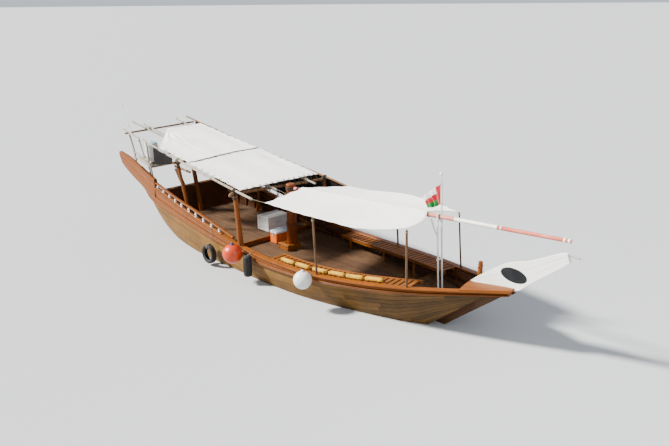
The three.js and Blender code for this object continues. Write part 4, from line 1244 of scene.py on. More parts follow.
# the flag droops from its hoist: its top edge runs down and aft, and the rest falls in pleats
def drapedFlag():
    columns, rows = 44, 24
    hoistTop, hoistLow = staffAt(flag["top"]), staffAt(flag["top"] - flag["high"])
    flyTop, flyLow = Vector((4.36, staff["y"], 2.985)), Vector((4.6, staff["y"], 2.81))
    grid = []
    for i in range(columns + 1):
        u = i / columns
        top = hoistTop.lerp(flyTop, u) + Vector((0, 0, 0.03 * sin(pi * u)))
        low = hoistLow.lerp(flyLow, u) + Vector((0, 0, -0.03 * sin(pi * u)))
        row = []
        for j in range(rows + 1):
            v = j / rows
            point = top.lerp(low, v)
            depth = 0.004 + (0.02 + 0.05 * v) * min(1, 1.6 * u)
            wave = sin(2 * pi * (flag["pleats"] * u + 0.55 * v))
            fine = sin(2 * pi * (2.3 * u - 1.2 * v))
            point.y += depth * wave + 0.012 * u * fine
            point.x -= 0.022 * (1 - u)
            row.append(point)
        grid.append(row)

    def pick(i, j):
        if (i + 0.5) / columns < flag["red"]:
            return 1
        return min(2, int(3 * (j + 0.5) / rows))

    cloths = [flagCloth((0.78, 0.77, 0.75), "white"), flagCloth((0.42, 0.018, 0.032), "red"),
              flagCloth((0.03, 0.25, 0.06), "green")]
    cloth = clothPiece("flag_cloth_piece", grid, cloths, "flag_cloth", "flag", 0.0015, pick)
    toggles = Shape()
    for z in (flag["top"] - 0.01, flag["top"] - flag["high"] + 0.01):
        ring = [staffAt(z) + Vector((0.026 * cos(t), 0.026 * sin(t), 0)) for t in turnsOf(18, True)]
        toggles.tube(ring, 0.0035, 8)
    ties = toggles.piece("flag_ties", "rope", slot="canvas", smooth=70)


flagstaff()
drapedFlag()

# balustrade rail: height of its top
railTops = tableOf(("x", "top"), [(-5.66, 1.88), (-5.28, 1.815), (-4.64, 1.705), (-3.9, 1.59),
                                  (-2.97, 1.455), (-1.94, 1.275), (-1.06, 1.12)])


def railZ(x):
    return between(railTops, x, "top")


# side cloths hung from the edge poles
curtain = {
    "aft": -7.5,
    "fore": 0.3,
    "thick": 0.002,
    "pleat": 0.17,
    "swing": 0.03,
    "hang": 0.008,
    "gather": 0.39,
}
nearTable, farTable = (tableOf(("x", "y", "z"), points) for points in (nearPole, farPole))
sternCurtainLows = tableOf(("x", "low"), [(-5.69, 2.47), (-5, 2.59), (-4.32, 2.735)])


# where the lower edge of the port curtain hangs: outside the rail, and forward of it on the cap
def curtainFoot(x):
    b = line(x, "b")
    y, z = (b + 0.053, railZ(x) - 0.02) if x < -1.3 else (b + 0.078, capTop(x) + 0.015)
    if x < -5.2:
        over = line(min(x, hull["wingX"]), "sheer") + 0.09
        z += (over - z) * min(1, (-5.2 - x) / 0.44)
    return y, z


def portCurtain():
    grid = []
    for x in spaced(curtain["aft"], curtain["fore"], 0.045):
        y = straight(farTable, x, "y") + 0.038
        top = straight(farTable, x, "z") - 0.025
        lowY, low = curtainFoot(x)
        gather = abs(sin(pi * (x - curtain["aft"]) / curtain["gather"]))
        row = []
        for k in range(29):
            t = k / 28
            loose = sin(pi * min(1, 0.15 + 0.85 * t) ** 0.8)
            stray = noiseAt(x * 1.3, t, 0)
            fold = sin(2 * pi * x / curtain["pleat"] + 1.5 * stray)
            uneven = 0.35 + 0.65 * abs(noiseAt(x * 1.7, 3, 0))
            depth = curtain["swing"] * uneven * (0.4 + 0.6 * loose)
            out = max(-0.004, depth * (0.5 + 0.5 * fold)) + curtain["hang"]
            z = top + (low - top) * t - 0.02 * gather * (1 - t)
            row.append(Vector((x, y + (lowY - y) * t + out, z)))
        grid.append(row)
    return clothPiece("curtain_cloth_port", grid, "dark_cloth", "dark_cloth", "curtain_port",
                      curtain["thick"])


def sternCurtain():
    grid = []
    for x in spaced(-5.69, -4.32, 0.03):
        y = straight(nearTable, x, "y") - 0.046
        top = straight(nearTable, x, "z") - 0.02
        low = between(sternCurtainLows, x, "low")
        row = []
        for k in range(17):
            t = k / 16
            fold = sin(2 * pi * x / 0.13 + 2 * t)
            row.append(Vector((x, y - (0.004 + 0.016 * t) * (0.5 + 0.5 * fold), top + (low - top) * t)))
        grid.append(row)
    return clothPiece("curtain_cloth_starboard", grid, "dark_cloth", "dark_cloth", "curtain_starboard",
                      curtain["thick"])


portCloth = portCurtain()
sternCloth = sternCurtain()
print("spar, flagstaff, flag and side cloths made")

# decks of boards with a covering board along each side
deckPlank = {"wide": 0.12, "gap": 0.004, "up": 0.005, "down": 0.012, "long": 2.8}
decks = [
    {"name": "aft", "x0": -5.395, "x1": -1.502, "z": hull["aftDeck"]},
    {"name": "main", "x0": -1.518, "x1": 4.168, "z": hull["mainDeck"]},
    {"name": "fore", "x0": 4.152, "x1": 5.655, "z": hull["foreDeck"]},
]


def insideAt(x, z):
    return breadthAt(x, z) - hull["shell"] - 0.004


def deckBoards(deck):
    shape = Shape()
    z = deck["z"]
    xs = spaced(deck["x0"], deck["x1"], 0.04)
    widest = max(insideAt(x, z) for x in xs)
    count = int(widest / deckPlank["wide"]) + 1
    for n in range(-count, count):
        a, b = n * deckPlank["wide"], (n + 1) * deckPlank["wide"]
        room = [x for x in xs if insideAt(x, z) > max(abs(a), abs(b)) - 0.03]
        if len(room) < 4:
            continue
        middle, height = (a + b) / 2, z + (deckPlank["up"] - deckPlank["down"]) / 2
        across = (0, deckPlank["wide"] - deckPlank["gap"], 0)
        up = (0, 0, deckPlank["up"] + deckPlank["down"])
        for start, end in boardEnds(min(room), max(room), deckPlank["long"], (0.7, 1.3), 0.5):
            board = boardRows((start, middle, height), (end - 0.002, middle, height), across, up, 0.002)
            shape.loft(board, tone=boardTone(0.2))
    for side in (-1, 1):
        rows = []
        for x in spaced(deck["x0"], deck["x1"], 0.2):
            y = insideAt(x, z + 0.01)
            inner = max(0.01, y - 0.14)
            rows.append(mirrored(x, side, [(inner, z - 0.002), (inner, z + 0.009), (inner + 0.004, z + 0.013),
                                           (y, z + 0.013), (y, z - 0.002)]))
        shape.loft(rows, tone=boardTone(0.08) - 0.08)
    shape.piece("deck_boards_" + deck["name"], "deck_wood", slot="deck_wood", smooth=30)


# upright boards on the face of a raised deck, with a nosing
def riser(word, face, edge, facing, top):
    shape = Shape()
    low = hull["mainDeck"] + 0.006
    half = insideAt(face, low + 0.1)
    for y in spaced(-half + 0.07, half - 0.07, 0.14):
        x = face + facing * 0.004
        board = boardRows((x, y, low), (x, y, top - 0.046), (0, 0.136, 0), (0.01, 0, 0), 0.003)
        shape.loft(board, tone=boardTone(0.15))
    half = insideAt(edge, top)
    nose = [(0, -0.045), (0.022, -0.045), (0.03, -0.036), (0.032, -0.006), (0.024, 0.006), (0, 0.008)]
    rows = [[(edge + facing * out, y, top + up) for out, up in nose] for y in spaced(-half, half, 0.5)]
    shape.loft(rows, tone=0.05)
    shape.piece("riser_" + word, "bench_wood", slot="deck_wood", smooth=30)


for deck in decks:
    deckBoards(deck)
riser("aft", -1.52, -1.5, 1, hull["aftDeck"])
riser("fore", 4.17, 4.15, -1, hull["foreDeck"])


# frames up the inside of the planking, with a clamp under the cap and a stringer half way
def deckUnder(x):
    return hull["aftDeck"] if x < -1.5 else hull["mainDeck"] if x < 4.15 else hull["foreDeck"]


def innerTimbers(side, word):
    shape = Shape()
    for x in spaced(-5.1, 5.5, 0.44):
        if abs(x + 1.5) < 0.06:
            continue
        rows = []
        for z in spaced(deckUnder(x) + 0.01, line(x, "sheer") - 0.004, 0.12):
            y = insideAt(x, z)
            ring = [(-0.03, y + 0.01), (-0.03, y - 0.034), (-0.024, y - 0.04), (0.024, y - 0.04),
                    (0.03, y - 0.034), (0.03, y + 0.01)]
            rows.append([(x + dx, side * wide, z) for dx, wide in ring])
        shape.loft(rows, tone=boardTone(0.15))
    for under, high, proud in ((0.02, 0.15, 0.062), (0.26, 0.09, 0.055)):
        for start, end in ((-5.2, -1.3), (-1.297, 2.3), (2.303, 5.75)):
            rows = []
            for x in spaced(start, end, 0.22):
                top = line(x, "sheer") - under
                low = top - high
                if low < deckUnder(x) + 0.02:
                    continue
                yTop, yLow = insideAt(x, top), insideAt(x, low)
                rows.append(mirrored(x, side, [
                    (yTop + 0.01, top), (yTop - proud + 0.005, top), (yTop - proud, top - 0.006),
                    (yLow - proud, low + 0.006), (yLow - proud + 0.005, low), (yLow + 0.01, low),
                ]))
            if len(rows) > 1:
                shape.loft(rows, tone=boardTone(0.12))
    shape.piece("inner_timbers_" + word, "inner_wood", slot="varnished_wood", smooth=30)


onBothSides(innerTimbers)

# slatted benches; each outline goes out from the half breadth and up from the seat
bench = {
    "x0": 0.52,
    "x1": 4.88,
    "out": 0.112,
    "in": 0.59,
    "thick": 0.022,
    "slat": 0.115,
    "pitch": 0.16,
    "bearers": (
        [(-0.535, -0.023), (-0.585, -0.023), (-0.585, -0.085), (-0.535, -0.085)],
        [(-0.16, -0.023), (-0.21, -0.023), (-0.21, -0.075), (-0.16, -0.075)],
    ),
    "edge": [(-0.55, 0), (-0.6, 0), (-0.606, 0.006), (-0.6, 0.013), (-0.556, 0.013)],
    "legs": ((0.9, "mainDeck"), (2.3, "mainDeck"), (3.6, "mainDeck"), (4.6, "foreDeck")),
}


def benchTop(x):
    return capTop(x) - 0.008


# a strip along one side; its outline goes out from the half breadth and up from a height
def sideStrip(shape, side, start, end, step, height, outline, tone=0.0):
    rows = []
    for x in spaced(start, end, step):
        b, z = line(x, "b"), height(x)
        rows.append(mirrored(x, side, [(b + out, z + up) for out, up in outline]))
    shape.loft(rows, tone=tone)


def benches(side, word):
    shape = Shape()
    x0, x1, slat = bench["x0"], bench["x1"], bench["slat"]
    for x in spaced(x0 + slat / 2, x1 - slat / 2, bench["pitch"]):
        b = line(x, "b")
        rise = (benchTop(x + 0.05) - benchTop(x - 0.05)) / 0.1 * slat
        turn = (line(x + 0.05, "b") - line(x - 0.05, "b")) / 0.1
        z = benchTop(x) - bench["thick"] / 2 + random.uniform(-0.0015, 0.0015)
        outer = Vector((x, side * (b - bench["out"]), z))
        inner = Vector((x + turn * (bench["in"] - bench["out"]) * 0.5, side * (b - bench["in"]), z))
        board = boardRows(outer, inner, (slat, 0, rise), (0, 0, bench["thick"]), 0.004)
        shape.loft(board, tone=boardTone(0.2))
    for outline in bench["bearers"]:
        sideStrip(shape, side, x0, x1, 0.2, benchTop, outline, -0.05)
    sideStrip(shape, side, x0 - 0.01, x1 + 0.01, 0.2, benchTop, bench["edge"], 0.14)
    for x, deckName in bench["legs"]:
        y = side * (line(x, "b") - bench["in"] + 0.027)
        foot, top = (x, y, hull[deckName] + 0.005), (x, y, benchTop(x) - 0.05)
        shape.board(foot, top, (0.06, 0, 0), (0, 0.05, 0), 0.005)
    shape.piece("bench_slats_" + word, "bench_wood", slot="deck_wood", stands=["bench_" + word], smooth=30)


onBothSides(benches)

# balustrades: sill, turned balusters and rail
balusterXs = (-5.51, -5.11, -4.7, -4.32, -3.92, -3.49, -3.08, -2.65, -2.21, -1.8)
balusterFoot = [(0, 0), (0.036, 0), (0.037, 0.012), (0.034, 0.022), (0.022, 0.032), (0.02, 0.05),
                (0.024, 0.075)]
balusterShares = [(0.034, 0.3), (0.037, 0.45), (0.034, 0.58), (0.024, 0.74), (0.018, 0.84), (0.018, 0.88),
                  (0.027, 0.895), (0.027, 0.915), (0.021, 0.93), (0.034, 0.96), (0.035, 1), (0, 1)]
sillOutline = [(-0.055, 0.001), (0.025, 0.001), (0.025, 0.016), (0.019, 0.022), (-0.049, 0.022),
               (-0.055, 0.016)]
railOutline = [(-0.058, -0.046), (0.028, -0.046), (0.034, -0.03), (0.036, -0.012), (0.026, -0.003),
               (-0.015, 0), (-0.056, -0.003), (-0.066, -0.012), (-0.064, -0.03)]


def balustrade(side, word):
    shape = Shape()
    for x in balusterXs:
        base = capTop(x) + 0.02
        tall = min(railZ(x + 0.034), railZ(x - 0.034)) - 0.046 - base + 0.002
        profile = balusterFoot + [(r, share * tall) for r, share in balusterShares]
        shape.turn(profile, (x, side * (line(x, "b") - 0.015), base), sides=16)
    shape.piece("turned_balusters_" + word, "white_paint", slot="white_paint", stands=["balusters_" + word],
                smooth=40)
    shape = Shape()
    sideStrip(shape, side, -5.59, -1.65, 0.2, capTop, sillOutline)
    for start, end in ((-5.612, -3.4), (-3.397, -1.06)):
        sideStrip(shape, side, start, end, 0.16, railZ, railOutline, boardTone(0.08))
    shape.piece("hand_rail_" + word, "varnish", slot="varnished_wood", stands=["rail_" + word], smooth=40)


onBothSides(balustrade)
print("decks, benches and balustrades made")

# posts, stakes and the stern frame
for side, word, foot, top in ((-1, "starboard", 1.69, 1.71), (1, "port", 1.678, 1.688)):
    low = Vector((-0.715, side * foot, capTop(-0.715) - 0.01))
    high = Vector((-0.84, side * top, beamZ("mid", side * top) - 0.055))
    polePiece("mid_post_" + word, [low, low.lerp(high, 0.5), high], 0.08, 0.066, "varnish", "varnished_wood",
              ["post_mid_" + word], 18)
for side, word, top in ((-1, "starboard", 1.54), (1, "port", 1.49)):
    points = [(-3.83, side * 1.29, hull["aftDeck"] + 0.004), (-3.85, side * 1.405, 1.25),
              (-4.05, side * top, beamZ("aft", side * top) - 0.057)]
    polePiece("aft_post_" + word, points, 0.06, 0.05, "varnish", "varnished_wood", ["post_aft_" + word], 18)
# the wooden stakes take the darker wood, partly painted shade
stakes = tableOf(("word", "x", "y", "topY", "top", "r", "wood"), [
    ("mid_starboard", 2.37, -1.59, -1.695, 2.43, 0.03, "stake_wood"),
    ("mid_port", 2.36, 1.58, 1.45, 2.44, 0.028, "stake_wood"),
    ("fore_starboard", 4.85, -1.0, -1.045, 2.555, 0.03, "stake_wood"),
    ("fore_port", 5.035, 0.89, 0.7, 2.64, 0.022, "ironwork"),
])
for stake in stakes:
    low = Vector((stake["x"], stake["y"], capTop(stake["x"]) - 0.01))
    high = Vector((stake["x"], stake["topY"], stake["top"]))
    polePiece("thin_stake_" + stake["word"], [low, low.lerp(high, 0.5), high], stake["r"], stake["r"] - 0.003,
              look(stake["wood"], along="grain"), "rough_poles", ["stake_" + stake["word"]])
helmPost = [(-5.305, 0, hull["aftDeck"] + 0.004), (-5.47, 0, 1.36), (-5.64, 0, 2.08)]
polePiece("helm_pole", helmPost, 0.082, 0.074, "varnish", "varnished_wood", ["helm_post"], 18)


def sternFrame():
    shape = Shape()
    for side in (-1, 1):
        y = side * 1.275
        members = [
            ([(-7.56, y, 3.192), (-7.31, y, 2.61), (-7.23, side * 1.29, 2.02)], 0.03, 0.034),
            ([(-7.35, y, 2.63), (-6.15, side * 1.3, 2.41)], 0.028, 0.028),
            ([(-7.27, y, 2.46), (-6.19, side * 1.3, 2.245)], 0.028, 0.028),
            ([(-6.237, side * 1.31, 1.67), (-6.37, side * 1.305, 3.105)], 0.034, 0.028),
            ([(-6.9, y, 3.105), (-6.6, side * 1.285, 2.48)], 0.026, 0.026),
            ([(-6.29, side * 1.295, 2.42), (-5.98, side * 1.333, 1.61)], 0.028, 0.03),
        ]
        for points, r0, r1 in members:
            steps = 5 if len(points) > 2 else 12
            crookedPole(shape, points, r0, r1, 12, wander=0.004, tone=boardTone(0.08), steps=steps)
    for x, z in ((-7.15, 2.405), (-6.3, 2.235)):
        bearer = [(x, y, z) for y in (-1.36, -0.4, 0.5, 1.36)]
        crookedPole(shape, bearer, 0.032, 0.032, 12, wander=0.004)
    for n in range(4):
        y = -1.262 + 0.0577 + n * 0.1155
        ends = [Vector((x, y, 2.236 + (-6.3 - x) * 0.2 + 0.037)) for x in (-7.18, -6.26)]
        shape.board(*ends, (0, 0.109, 0), (0, 0, 0.026), 0.004, tone=boardTone(0.08))
    shape.piece("stern_poles", "pale_pole", slot="pale_poles", stands=["stern_frame"], smooth=60)


sternFrame()

# mast on its step of four timbers, with its collars
mast = {
    "x": -0.45,
    "r0": 0.165,
    "r1": 0.142,
    "top": 2.5,
    "foot": hull["mainDeck"] + 0.004,
    "collars": (1.24, 1.29),
    "stepTop": 0.688,
}


def mastSpar():
    x, r0, r1, foot, top = (mast[key] for key in ("x", "r0", "r1", "foot", "top"))
    shape = Shape()
    path = [Vector((x, 0, z)) for z in spaced(foot, top - 0.03, 0.12)]
    shape.tube(path, lambda t: r0 + (r1 - r0) * t, 28, rough=0.03)
    cap = [(r1, -0.002), (r1 - 0.006, 0.014), (r1 - 0.03, 0.026), (0.04, 0.03), (0, 0.03)]
    shape.turn(cap, (x, 0, top - 0.03), sides=28)
    for z in mast["collars"]:
        r = r0 - (r0 - r1) * (z - foot) / (top - foot)
        collar = [(r - 0.01, 0), (r + 0.012, 0.002), (r + 0.014, 0.016), (r + 0.012, 0.03), (r - 0.01, 0.032)]
        shape.turn(collar, (x, 0, z), sides=28, tone=-0.25)
    shape.piece("mast_spar", "mast_wood", slot="mast_paint", stands=["mast"], smooth=50)


def mastStep():
    shape, bolts = Shape(), Shape()
    x0, x1, y0, y1 = mast["x"] - 0.268, mast["x"] + 0.188, -0.328, 0.178
    foot, top = mast["foot"], mast["stepTop"]
    middle = (foot + top) / 2
    for y in (y0 + 0.065, y1 - 0.065):
        board = boardRows((x0, y, middle), (x1, y, middle), (0, 0.13, 0), (0, 0, top - foot), 0.008)
        shape.loft(board, tone=boardTone())
    for x in (x0 + 0.055, x1 - 0.055):
        ends = [(x, y, middle - 0.012) for y in (y0 + 0.133, y1 - 0.133)]
        shape.board(*ends, (0.1, 0, 0), (0, 0, top - foot - 0.024), 0.008, tone=boardTone())
    shape.piece("mast_step", "bench_wood", slot="varnished_wood", smooth=30)
    bolt = [(0.022, -0.002), (0.022, 0.003), (0.011, 0.004), (0.011, 0.01), (0, 0.012)]
    for y, out in ((y0 - 0.002, -1), (y1 + 0.002, 1)):
        for x in (x0 + 0.055, x1 - 0.055):
            for z in (0.55, 0.64):
                bolts.turn(bolt, (x, y, z), (0, out, 0), 12)
    bolts.piece("step_bolts", "ironwork", slot="steel", smooth=40)


mastSpar()
mastStep()
print("posts, stern frame and mast made")

# transom boards and the iron work of the rudder
def transomX(z):
    return hull["sternX"] + hull["sternRake"] * z


def transomBoards():
    shape = Shape()
    out = Vector((-1, 0, hull["sternRake"])).normalized()
    z, high, half = -0.1, 0.19, 0.078
    while z < 1.36:
        top = min(1.42, z + high)
        outline = ((z + 0.003, -0.004), (z + 0.003, 0.004), (z + 0.007, 0.008), (top - 0.007, 0.008),
                   (top - 0.003, 0.004), (top - 0.003, -0.004))
        for side in (-1, 1):
            rows = []
            for share in (0, 0.25, 0.5, 0.75, 1):
                ring = []
                for level, proud in outline:
                    wide = breadthAt(transomX(level), level) - 0.012
                    y = half + (wide - half) * share
                    ring.append(Vector((transomX(level), side * y, level)) + out * proud)
                rows.append(ring)
            shape.loft(rows, tone=boardTone(0.2))
        z += high
    low, top = (Vector((transomX(z), 0, z)) + out * 0.004 for z in (-0.15, 1.4))
    shape.board(low, top, (0, 0.148, 0), out * 0.014, 0.004, tone=-0.1)
    shape.piece("transom_boards", "hull_wood", slot="weathered_planking", smooth=30)


transomBoards()
rudder = {"off": 0.04, "half": 0.03, "skin": 0.0035, "irons": (1.13, 0.33)}


# how far the aft edge of the blade stands from the line of the pins; here x is the height
bladeEdge = tableOf(("x", "aft"), [(-0.92, 0.71), (-0.52, 0.77), (0.1, 0.54), (0.7, 0.28), (1.88, 0.25)])


def rudderSkins():
    shape = Shape()
    for side in (-1, 1):
        low = 0.0
        for board in (0.13, 0.19, 0.19, 0.19, 0.19):
            rows = []
            for z in spaced(-0.9, 1.86, 0.12):
                edge = straight(bladeEdge, z, "aft") - 0.012
                a, b = max(0.09, low + 0.05), min(edge, low + 0.05 + board - 0.005)
                if b - a < 0.03:
                    continue
                face, skin = side * (rudder["half"] - 0.001), side * (rudder["half"] + rudder["skin"])
                x = transomX(z) - rudder["off"]
                rows.append([(x - a, face, z), (x - a, skin - side * 0.002, z), (x - a - 0.003, skin, z),
                             (x - b + 0.003, skin, z), (x - b, skin - side * 0.002, z), (x - b, face, z)])
            if len(rows) > 2:
                shape.loft(rows, tone=boardTone(0.2))
            low += board
    shape.piece("rudder_boards", "keel_wood", body="rudder", slot="dark_timber", smooth=30)
    irons = Shape()
    slope = Vector((hull["sternRake"], 0, 1)).normalized()
    back = Vector((-1, 0, hull["sternRake"])).normalized()
    for z in (*rudder["irons"], -0.56):
        for side in (-1, 1):
            for reach in (0.11, 0.19, 0.27):
                at = Vector((transomX(z) - rudder["off"], 0, z)) + back * reach + slope * 0.046
                at.y = side * 0.0345
                irons.turn([(0.013, 0), (0.013, 0.005), (0.009, 0.008), (0, 0.009)], at, (0, side, 0), 10)
    irons.piece("rudder_bolts", "bronze", body="rudder", slot="bronze", smooth=40)


rudderSkins()


# tiller: a tapering bar with a knob and a rope grip
def tiller():
    shape = Shape()
    a, b = Vector((transomX(1.96) - 0.21, 0, 1.974)), Vector((-5.9, 0, 1.915))
    path = [a.lerp(b, k / 10) for k in range(11)]
    shape.tube(path, lambda t: 0.044 - 0.012 * t + 0.003 * sin(7 * t), 16, 0.03)
    knob = [(0.02, -0.03), (0.034, -0.015), (0.04, 0.005), (0.034, 0.025), (0.012, 0.036), (0, 0.037)]
    shape.turn(knob, b, b - a, 16)
    shape.piece("tiller_bar", "varnish", body="rudder", slot="varnished_wood", stands=["tiller"], smooth=50)
    grip = Shape()
    coil(grip, a.lerp(b, 0.86), b - a, 0.036, 12, 0.005)
    grip.piece("tiller_grip", "rope", body="rudder", slot="canvas", smooth=70)


# rope work: turns round one pole, and crossed turns round two
def coil(shape, centre, axis, radius, turns, rope=0.006):
    axis = Vector(axis).normalized()
    side = axis.orthogonal().normalized()
    other = axis.cross(side)
    steps = 14
    path = []
    for k in range(turns * steps + 1):
        t = 2 * pi * k / steps
        along = (k / steps - turns / 2) * rope * 2.05
        path.append(Vector(centre) + (side * cos(t) + other * sin(t)) * (radius + rope * 0.8) + axis * along)
    shape.tube(path, rope, 6, tone=boardTone(0.1))


def rounded(value):
    return copysign(abs(value) ** 0.8, value)


def looped(shape, centre, wide, high, shift, turns=1, rope=0.006):
    steps = 16
    path = []
    for k in range(turns * steps + 1):
        t = 2 * pi * k / steps
        drift = shift * (k / steps - turns / 2)
        path.append(Vector(centre) + wide * rounded(cos(t)) + high * rounded(sin(t)) + drift)
    shape.tube(path, rope, 6, tone=boardTone(0.1))


def lashing(shape, centre, a, b, high, wide, turns=4, rope=0.006):
    a, b = Vector(a).normalized(), Vector(b).normalized()
    up = a.cross(b).normalized()
    for across in ((a + b).normalized(), (a - b).normalized()):
        looped(shape, centre, across * wide, up * high, up.cross(across) * rope * 2.1, turns, rope)


tiller()


# tapering twisted blades on a hub
def propeller():
    centre = Vector((-4.01, 0, -0.65))
    axis = Vector((1, 0, 0.15)).normalized()
    side = Vector((0, 1, 0))
    up = axis.cross(side)
    shape = Shape()
    hub = [(0, -0.068), (0.02, -0.066), (0.034, -0.05), (0.04, -0.03), (0.048, 0.02), (0.05, 0.05),
           (0.046, 0.058), (0.03, 0.06)]
    shape.turn(hub, centre, axis, 24)
    for turn in turnsOf(3):
        out = up * cos(turn) + side * sin(turn)
        tangent = axis.cross(out)
        rows = []
        for k in range(13):
            t = k / 12
            r = 0.035 + (0.212 - 0.035) * t
            chord = 0.035 + 0.105 * sin(pi * min(1, 0.12 + 0.9 * t)) ** 0.8
            if t > 0.85:
                chord *= max(0.15, 1 - ((t - 0.85) / 0.15) ** 2)
            pitch = atan2(0.24, 2 * pi * max(0.05, r)) + 0.12
            along = tangent * cos(pitch) + axis * sin(pitch)
            thick = (out.cross(along)) * (0.009 - 0.0065 * t)
            rows.append([centre + out * r + along * chord * 0.5 * cos(s) + thick * sin(s)
                         for s in turnsOf(16)])
        shape.loft(rows)
    shape.piece("propeller_blades", "bronze", body="propeller", slot="bronze", stands=["propeller"],
                smooth=60)


propeller()
print("transom, rudder and propeller made")

# bolsters along the starboard bench: one is filled by a cloth simulation and serves for all
bolster = {"xs": (1.15, 1.71, 2.32, 2.85, 3.38, 3.92), "r": 0.056, "half": 0.238, "in": 0.172, "up": 0.063}


def bolsterCover():
    shape = Shape()
    r, half = bolster["r"], bolster["half"]
    profile = [(0.012, -half), (0.03, -half + 0.001), (0.043, -half + 0.007), (0.051, -half + 0.02),
               (r, -half + 0.045)]
    middle = [(r * (1 - 0.035 * sin(pi * k / 10)), -half + 0.045 + (2 * half - 0.09) * k / 10)
              for k in range(1, 10)]
    ends = [(radius, -at) for radius, at in reversed(profile)]
    shape.turn(profile + middle + ends, (0, 0, 0), (1, 0, 0), 32)
    mesh = bpy.data.meshes.new("cover")
    mesh.from_pydata(shape.points, [], shape.faces)
    return placed("cover", mesh)


def applied(made):
    bpy.context.view_layer.update()
    graph = bpy.context.evaluated_depsgraph_get()
    mesh = bpy.data.meshes.new_from_object(made.evaluated_get(graph))
    made.modifiers.clear()
    made.data = mesh


# seams stay where they are sewn: the two ends, their piping and the long seam
def filledCover():
    cover = bolsterCover()
    remesh = cover.modifiers.new("remesh", "REMESH")
    remesh.mode = "VOXEL"
    remesh.voxel_size = 0.006
    applied(cover)
    before = [vertex.co.copy() for vertex in cover.data.vertices]
    sewn = cover.vertex_groups.new(name="sewn")
    half = bolster["half"]
    for vertex in cover.data.vertices:
        x, y, z = vertex.co
        nearEnd = half - abs(x)
        if nearEnd < 0.004 or abs(nearEnd - 0.05) < 0.006 or (abs(y) < 0.007 and z > 0):
            sewn.add([vertex.index], 1.0, "REPLACE")
    cloth = cover.modifiers.new("cloth", "CLOTH")
    cloth.settings.quality = 6
    cloth.settings.use_pressure = True
    cloth.settings.uniform_pressure_force = 4
    cloth.settings.shrink_min = -0.06
    cloth.settings.vertex_group_mass = "sewn"
    cloth.settings.effector_weights.gravity = 0
    for frame in range(1, 21):
        bpy.context.scene.frame_set(frame)
    applied(cover)
    bpy.context.scene.frame_set(1)
    for vertex, old in zip(cover.data.vertices, before):
        move = vertex.co - old
        if move.length > 0.006:
            vertex.co = old + move.normalized() * 0.006
    return cover


# a closed ring of points round the X axis
def hoop(centre, r, count):
    return [Vector(centre) + Vector((0, r * cos(t), r * sin(t))) for t in turnsOf(count, True)]


def bolsters():
    cover = filledCover()
    piping = [hoop((end * (bolster["half"] - 0.05), 0, 0), 0.0575, 28) for end in (-1, 1)]
    reach = 0.24
    rope = Shape()
    for n, x in enumerate(bolster["xs"]):
        ahead, behind = (
            Vector((at, -(line(at, "b") - bolster["in"]), benchTop(at) + bolster["up"]))
            for at in (x + reach, x - reach)
        )
        along = (ahead - behind).normalized()
        across = Vector((0, 0, 1)).cross(along).normalized()
        frame = Matrix((along, across, along.cross(across))).transposed()
        roll = Matrix.Rotation(random.uniform(-1.2, 1.2) + (pi if n % 2 else 0), 3, "X")
        centre = (ahead + behind) / 2
        place = Matrix.Translation(centre) @ (frame @ roll).to_4x4()
        mesh = cover.data.copy()
        mesh.transform(place)
        mesh.materials.clear()
        mesh.materials.append(look("yellow_cloth", along="all"))
        mesh.shade_smooth()
        made = placed(f"bolster_{n + 1}", mesh)
        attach(made, "hull")
        if n == 0:
            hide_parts("bolsters")
        made.modifiers.new("fine", "SUBSURF").render_levels = 1
        made.modifiers["fine"].levels = 1
        for path in piping:
            rope.tube([place @ point for point in path], 0.003, 6, tone=-0.2)
        for ends in ((-0.26, -0.238), (0.238, 0.26)):
            rope.tube([place @ Vector((at, 0, 0)) for at in ends], 0.006, 8)
    rope.piece("bolster_piping", "dark_rope", slot="dark_cloth", smooth=70)
    bpy.data.objects.remove(cover)


bolsters()
print("bolsters made")

# fenders, their eyes and the ropes they hang by
balls = [{"word": "white", "at": (2.25, -1.972, 0.83), "r": 0.238, "colour": white, "eye": white,
          "to": (2.25, -1.72)}, {"word": "orange", "at": (-0.57, -2.1, 0.83), "r": 0.28,
                                 "colour": (0.62, 0.055, 0.012), "eye": navy, "to": (-0.6, -1.8)}]


def eyeRing(shape, at, r, rope, finish=0):
    shape.tube(hoop(at, r, 16), rope, 8, finish=finish)


def ballFender(ropes, ball):
    shape = Shape()
    word, r, centre = ball["word"], ball["r"], Vector(ball["at"])
    profile = []
    for k in range(31):
        turn = pi * k / 30
        seam = 0.0015 * exp(-(((turn - pi / 2) / 0.02) ** 2))
        profile.append(((r + seam) * sin(turn) * (1 - 0.02 * cos(turn)), -(r + seam) * cos(turn)))
    shape.turn([p for p in profile if p[1] < r * 0.972], centre, sides=40)
    neck = [(0.054, r - 0.014), (0.047, r - 0.002), (0.043, r + 0.004), (0.04, r + 0.022), (0.034, r + 0.034),
            (0.012, r + 0.036)]
    shape.turn(neck, centre, sides=20, finish=1)
    eyeRing(shape, centre + Vector((0, 0, r + 0.036)), 0.017, 0.008, finish=1)
    plug = [(0.02, -r - 0.003), (0.024, -r + 0.004), (0.022, -r + 0.01)]
    shape.turn(plug, centre, sides=16, finish=1)
    materials = [plastic(word + "_ball", ball["colour"], 0.25), plastic("eye_" + word, ball["eye"])]
    shape.piece("ball_" + word, materials, slot=word + "_vinyl", stands=["fender_" + word], smooth=60)
    top = centre + Vector((0, 0, r + 0.048))
    x, y = ball["to"]
    edge = Vector((x, y, capTop(x) + 0.008))
    inner = Vector((x, y + 0.12, capTop(x) + 0.008))
    ropes.tube([top, top.lerp(edge, 0.5), edge, edge.lerp(inner, 0.5), inner], 0.007, 8)
    eyeRing(ropes, centre + Vector((0, 0, r + 0.044)), 0.012, 0.006)


